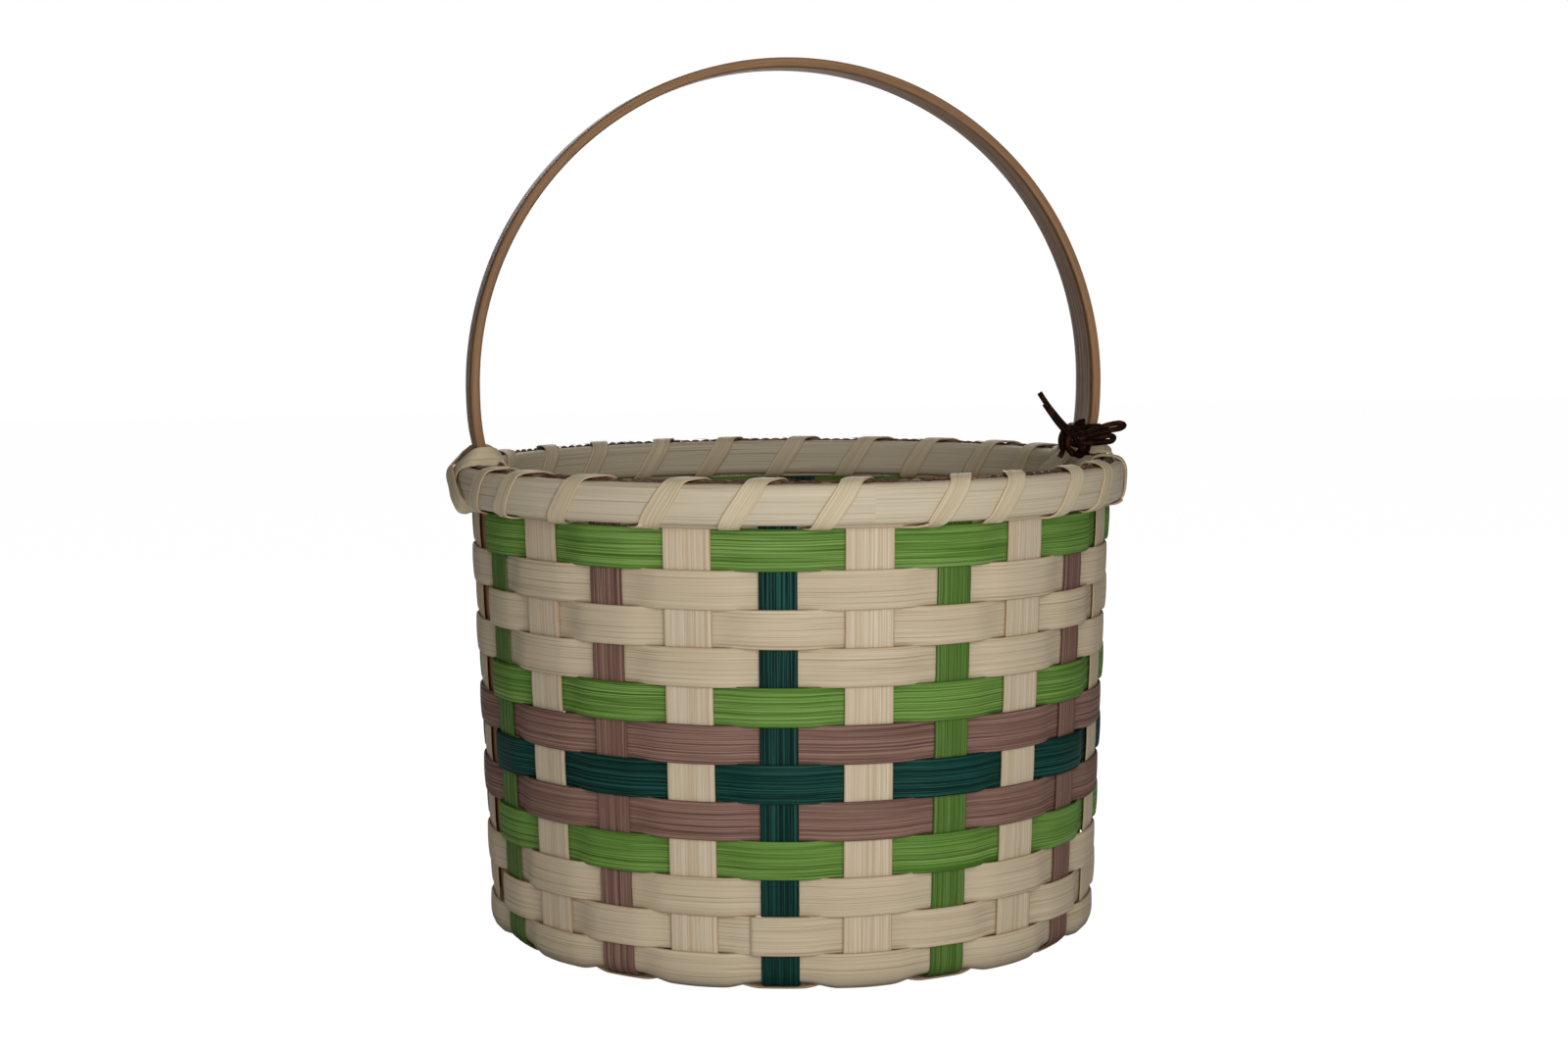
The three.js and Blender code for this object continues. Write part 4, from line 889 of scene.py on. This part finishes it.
# Lashing: 7 mm flat reed wound round both rims, one turn in each gap between stakes, with a
# crossing in the shape of an X at each foot of the handle.
LASH_WIDTH = 7.0
SLACK_OUTSIDE = 0.05
SLACK_INSIDE = 0.3
SLACK_UNDER = 1.3
SLACK_OVER = 0.1
FILLER_PROUD = 0.8
LASH_OUTSIDE = OUTER_RIM_FACE + OUTER_RIM_THICK + LASH_THICK / 2 + SLACK_OUTSIDE
LASH_INSIDE = INNER_RIM_FACE + INNER_RIM_THICK + LASH_THICK / 2 + SLACK_INSIDE
LASH_UNDER = -RIM_HEIGHT / 2 - SLACK_UNDER
LASH_OVER = RIM_HEIGHT / 2 + FILLER_PROUD + LASH_THICK / 2 + SLACK_OVER
CROSS_RISE = 2.3
CROSS_TILT = 0.4
LASH_INNER_HALF = 0.45
GAP_RUN = PITCH * LASH_ARM
TURN_START = -60
TURN_STEP = 10.0
WHOLE_TURN = 360
LAST_TURN = 301
AT_EDGE = HANDLE_WIDTH / 2 + 3 * CLEARANCE + LASH_THICK
LANE = HANDLE_WIDTH / 2 + 2.7 * CLEARANCE + LASH_WIDTH / 2
NEXT_LANE = LANE + LASH_WIDTH + 3 * CLEARANCE

# How far each turn lies along the rim from the middle of its gap, in the front and the back half.
FRONT_SHIFTS = (9.6, -0.7, -1.2, 4.3, -0.2, -1.4, 4.9, -3.8, -3.6, -10, -4)
BACK_SHIFTS = (8.4, 2.9, 3, 1.2, 1.3, 1.7, 0, 0, -2, 0, 0)


TURN_ROUNDING = 0.7
CORNER_ACROSS = rounded(0.5, TURN_ROUNDING)
CORNER_UP = rounded(math.sqrt(0.75), TURN_ROUNDING)


def turn_stations(gap_angle, shift, next_shift, degrees):
    """Stations of one turn: angle, depth, height, and the way that the strip faces. The strip lies
    straight on each of the four sides, outside, over, inside and under, and under the rims it goes
    over to the next turn's shift."""
    turn = np.radians(degrees)
    across, rise = rounded(np.cos(turn), TURN_ROUNDING), rounded(np.sin(turn), TURN_ROUNDING)
    sides = [degrees < 60, degrees < 120, degrees < 240, degrees >= 240]
    ends = [(0, 0.306), (0.306, 0.49), (0.49, 0.828), (0.828, 1)]
    passed = [rise / CORNER_UP, -across / CORNER_ACROSS, -rise / CORNER_UP, across / CORNER_ACROSS]
    run = GAP_RUN * np.select(sides, [blend(low, high, (1 + share) / 2)
                                      for (low, high), share in zip(ends, passed)])
    angle = gap_angle + (run + blend(shift, next_shift, (degrees - 240) / 60)) / LASH_ARM
    edge = LASH_WIDTH / 2 / LASH_ARM
    push = np.maximum(0, -across) * np.maximum(swell(angle - edge), swell(angle + edge))
    depth = (LASH_OUTSIDE - LASH_INSIDE + across * (LASH_OUTSIDE + LASH_INSIDE)) / 2 - push
    height = (LASH_OVER + LASH_UNDER + rise * (LASH_OVER - LASH_UNDER)) / 2
    return np.stack([angle, depth, height, 0 * turn, across * np.abs(across), rise * np.abs(rise)], axis=1)


def handle_cross(handle_angle):
    """Stations of the X at a handle foot: over the outer rim, round one edge of the leg and down
    inside, out under the rims, back over itself, and round the other edge. Where it goes back over
    itself it is tilted, with its front edge down on the rim."""
    gap, out = GAP_RUN / 2, LASH_OUTSIDE
    over = LASH_OUTSIDE + LASH_THICK + 0.4
    tilt = -CROSS_TILT * math.copysign(1, handle_angle)
    inside = HANDLE_INSIDE + INNER_RIM_THICK + LASH_THICK / 2 + 1.0
    within = inside + LASH_THICK + 2.3 * CLEARANCE
    leg_out, leg_in = -TAIL_OUTSIDE, -TAIL_OUTSIDE - HANDLE_THICK
    low, high = LASH_UNDER, LASH_OVER + CROSS_RISE
    table = np.array([
        [-gap - 8.8, -3.0, low, 0, 0, -1],
        [-gap - 7.4, 0.6, low, 0, 0, -1],
        [-gap - 5.5, out - 2.3, low + 0.6, 0, 0.5, -0.87],
        [-gap - 3.7, out - 0.25, low + 2.7, 0, 0.87, -0.5],
        [-AT_EDGE + 0.8, out, -0.7, 0, 1, 0],
        [1.5, out, 4.3, 0, 1, 0.1],
        [AT_EDGE - 5.2, out - 1.1, high - 3.3, 0, 0.86, 0.5],
        [AT_EDGE - 2.6, leg_out + 5.2, high - 1.5, 0.3, 0.6, 0.66],
        [AT_EDGE - 0.8, leg_out + 2.8, high - 0.4, 0.6, 0.5, 0.6],
        [AT_EDGE, leg_out + 0.4, high, 0.95, 0.2, 0.2],
        [AT_EDGE, leg_in + 0.2, high, 0.95, -0.2, 0.2],
        [AT_EDGE - 1.0, leg_in - 3.3, high - 0.9, 0.5, -0.75, 0.4],
        [AT_EDGE - 0.4, -inside, high - 4.3, 0, -1, 0.1],
        [AT_EDGE + 0.4, -inside, 0, 0, -1, 0],
        [AT_EDGE + 1.0, -inside + 0.5, low + 2.8, 0, -0.87, -0.5],
        [LANE - 0.1, leg_in - 1.4, low + 0.4, 0, -0.4, -0.9],
        [LANE, -1.5, low, 0, 0, -1],
        [LANE, 1.5, low, 0, 0, -1],
        [LANE + 0.9, out - 2.6, low - 0.2, 0.8 * tilt, 0.4, -0.8],
        [LANE + 0.2, out + 0.2, low + 1.6, 1.3 * tilt, 0.9, -0.35],
        [AT_EDGE - 2.2, over + 0.3, -2.4, tilt, 1, -0.05],
        [3.0, over + 0.3, 1.7, tilt, 1, 0],
        [-2.5, over + 0.2, 5.5, tilt, 1, 0.15],
        [-AT_EDGE + 4.9, over - 1.5, high - 2.6, tilt / 2 - 0.1, 0.8, 0.6],
        [-AT_EDGE + 2.4, leg_out + 5.4, high - 1.1, -0.3, 0.6, 0.7],
        [-AT_EDGE + 0.8, leg_out + 2.8, high - 0.2, -0.6, 0.5, 0.6],
        [-AT_EDGE, leg_out + 0.4, high, -0.95, 0.2, 0.2],
        [-AT_EDGE, leg_in + 0.2, high, -0.95, -0.2, 0.2],
        [-AT_EDGE + 1.2, leg_in - 3.3, high - 0.9, -0.5, -0.75, 0.4],
        [-AT_EDGE + 4.8, -inside - 0.2, high - 3.4, 0, -1, 0.1],
        [3.5, -within, 2.6, 0, -1, 0],
        [NEXT_LANE - 2.9, -within, -3.4, 0, -1, 0],
        [NEXT_LANE - 0.5, leg_in - 4.0, low + 2.5, 0, -0.87, -0.5],
        [NEXT_LANE, leg_in - 1.0, low + 0.4, 0, -0.4, -0.9],
        [NEXT_LANE, -1.0, low, 0, 0, -1],
        [NEXT_LANE, 1.5, low, 0, 0, -1],
    ])
    table[:, 0] = handle_angle + table[:, 0] / LASH_ARM
    return table


def through(points, spacing):
    """A smooth line through points at an even spacing: cubic pieces whose slopes at each point come
    from its two neighbours, over knots set by the square roots of the distances."""
    points = np.asarray(points, float)
    gaps = np.linalg.norm(np.diff(points[:, :3], axis=0), axis=1)
    knots = np.concatenate([[0], np.cumsum(np.sqrt(gaps))])
    slopes = np.gradient(points, knots, axis=0)
    counts = np.maximum(1, np.round(gaps / spacing)).astype(int)
    piece = np.repeat(np.arange(len(gaps)), counts)
    first = np.repeat(np.cumsum(counts) - counts, counts)
    t = ((np.arange(len(piece)) - first) / counts[piece])[:, None]
    width = np.diff(knots)[piece][:, None]
    a, b, p, q = points[piece], points[piece + 1], slopes[piece] * width, slopes[piece + 1] * width
    line = ((2 * t ** 3 - 3 * t ** 2 + 1) * a + (t ** 3 - 2 * t ** 2 + t) * p
            + (3 * t ** 2 - 2 * t ** 3) * b + (t ** 3 - t ** 2) * q)
    return np.concatenate([line, points[-1:]])


lash_ring = strip_ring(29, 0.06, 7)


def lash_strip(handle_angle, shifts, offset):
    """The strip as rings of points: its width is square to its path and to the way that it faces."""
    parts = [handle_cross(handle_angle)]
    for i, (shift, next_shift) in enumerate(zip(shifts, shifts[1:] + shifts[-1:])):
        end = TURN_START + (WHOLE_TURN if i < len(shifts) - 1 else LAST_TURN)
        parts.append(turn_stations(handle_angle + (i + 0.5) * PITCH, shift, next_shift,
                                   np.arange(TURN_START, end, TURN_STEP)))
    table = np.concatenate(parts)
    centres = place(table[:, 0], RIM_MIDDLE + table[:, 2], table[:, 1])
    angle = table[:, 0]
    level = np.stack([np.cos(angle), np.sin(angle), 0 * angle], axis=1)
    flat = np.stack([np.sin(angle), -np.cos(angle), 0 * angle], axis=1)
    out = flat * math.cos(FLARE) - upright * math.sin(FLARE)
    rise = flat * math.sin(FLARE) + upright * math.cos(FLARE)
    facing = table[:, 3:4] * level + table[:, 4:5] * out + table[:, 5:6] * rise
    line = through(np.concatenate([centres, facing], axis=1), 1.1)
    path, face = line[:, :3], line[:, 3:]
    run = unit(np.gradient(path, axis=0))
    width = unit(np.cross(run, face))
    thick = np.cross(width, run)
    across, share = lash_ring
    depth = np.where(share > 0, share * LASH_THICK / 2, share * LASH_INNER_HALF)
    points = (path[:, None] + width[:, None] * (across * LASH_WIDTH / 2)[None, :, None]
              + thick[:, None] * depth[None, :, None])
    along = gone(path)
    return points, strip_uv(along, across * LASH_WIDTH / 2, offset), np.abs(across), False


lash_finish = reed_finish("lashing_reed", ((0.53, 0.42, 0.27), (0.62, 0.52, 0.35), (0.70, 0.60, 0.42)),
                          (0.56, 0.40, 0.22), NATURAL_SPLIT, ribs_per_cm=12, rib_strength=0.6,
                          rib_tone=0.25, split_share=0.2)
for half, handle_angle, shifts, offset in (("front", -math.pi / 2, FRONT_SHIFTS, 700),
                                           ("back", math.pi / 2, BACK_SHIFTS, 900)):
    finished_piece(f"lashing_strip_{half}", [lash_strip(handle_angle, shifts, offset)], lash_finish,
                   [f"rim_lashing_{half}"])

# Bow: thin dark waxed cord, wound twice round the foot of the right-hand leg and tied in a bow with
# doubled loops. Points are measured from the leg's front edge: outwards, forwards and up.
CORD = 2.1
CORD_SIDES = 10
CORD_TWIST = 2.2
TURNS_RISE = -3.6
TURNS_GAP = 0.15
TURNS_START = -60
TURNS_END = 2 * WHOLE_TURN + 40
TURNS_STEP = 8.0
BOW_SHIFT = (-1.8, 0.2, 0)
BOW_RISE = 9.8
leg_line = handle_side()[0]
bow_height = float(leg_top[2]) + BOW_RISE
bow_out = np.interp(bow_height, leg_line[:, 1], leg_line[:, 0])
bow_at = np.array([bow_out, -HANDLE_WIDTH / 2, bow_height])


def from_leg(points):
    """Points of the basket from points measured outwards, forwards and up."""
    return np.asarray(points, float) * (1, -1, 1) + bow_at


def bow_turns():
    """A rounded box round the leg that climbs at a steady rate."""
    half_wide = HANDLE_WIDTH / 2 * (1 + LEG_SWELL) + CORD / 2 - 0.2
    half_thick = HANDLE_THICK / 2 + 0.05 + CORD / 2
    turn = np.radians(np.arange(TURNS_START, TURNS_END, TURNS_STEP))
    out = half_thick * rounded(np.cos(turn - math.pi / 2), 0.5)
    back = -HANDLE_WIDTH / 2 - half_wide * rounded(np.sin(turn - math.pi / 2), 0.5)
    rise = TURNS_RISE + (CORD + TURNS_GAP) * turn / (2 * math.pi) + 0.3 * np.sin(turn * 1.3)
    return from_leg(np.stack([out, back, rise], axis=1))


WAXED_TONES = ((0.006, 0.0015, 0.0006), (0.02, 0.006, 0.0025), (0.05, 0.018, 0.008))
waxed_finish = fibre_material("waxed_cord", WAXED_TONES, (0.45, 0.65), 6.0, 3.0, 0.8, 0.06)
BOW_PIECES = {
    "knot": [
        [[-2.8, 3, 1.1], [-7.4, 6.5, -0.4], [-10.8, 8.2, -3.7], [-10.8, 8, -7.0], [-8.3, 7, -9.3],
         [-5.3, 5.5, -7.8], [-4.0, 5, -4.1], [-5.8, 6, -0.7], [-8.9, 6.5, 0.7], [-11.9, 6, -0.7],
         [-12.9, 5.5, -4.1], [-12.1, 5.5, -7.8], [-13.1, 5, -10.4]],
        [[-2.4, 6, -9.6], [-5.4, 7.5, -7.0], [-7.9, 8.5, -4.1], [-8.8, 7.5, -0.7], [-6.4, 5.5, 2.2],
         [-3.3, 3.5, 3.0]],
        [[-11.9, 4.5, -2.6], [-9.7, 6.5, -4.8], [-6.5, 7.5, -5.9], [-3.2, 6.5, -4.8], [-1.1, 4, -2.6]],
        [[-10.6, 4, -5.9], [-8.7, 5.5, -8.1], [-5.4, 6, -10.0], [-2.6, 5.5, -8.1], [-1.7, 5, -5.6],
         [-4.1, 6.8, -2.6], [-7.7, 8, -1.9], [-10.9, 7, -3.0], [-12.4, 5, -6.3]]],
    "loop_upper": [
        [[-6.8, 7, -1.1], [-2.3, 7.5, -0.7], [2.0, 8.5, 0.8], [6.3, 9.5, 2.0], [9.3, 10, 2.2],
         [10.5, 10.3, 1.5], [9.2, 10.5, 0.5], [5.9, 10, -0.2], [1.1, 9, -1.3], [-3.2, 8, -2.5],
         [-6.5, 7.5, -3.7]]],
    "loop_lower": [
        [[-6.3, 6.5, -3.0], [-2.2, 7, -3.3], [2.1, 8, -3.0], [5.3, 9, -2.4], [6.8, 9.3, -3.0],
         [6.0, 9.4, -4.3], [2.3, 9, -4.8], [-2.0, 8, -5.2], [-5.6, 7, -5.2]]],
    "end_long": [
        [[-8.9, 6.5, -0.7], [-11.9, 6, 1.9], [-15.2, 5.5, 5.7], [-18.5, 5, 10.0], [-21.0, 4.5, 13.9]]],
    "end_short": [
        [[-9.9, 7.5, -2.6], [-12.6, 7.5, 0.2], [-15.1, 7, 3.3], [-17.7, 6.8, 6.9], [-19.7, 6.5, 9.8]]],
}
bow_tubes = {"turns": [round_tube(through(bow_turns(), 0.8), CORD / 2, CORD_SIDES, 0, CORD_TWIST)]}
for name, runs in BOW_PIECES.items():
    bow_tubes[name] = [round_tube(through(from_leg(np.add(run, BOW_SHIFT)), 0.5), CORD / 2, CORD_SIDES,
                                  30 * i, CORD_TWIST) for i, run in enumerate(runs)]
for name, tubes in bow_tubes.items():
    finished_piece(f"waxed_{name}", tubes, waxed_finish, [f"bow_{name}"])
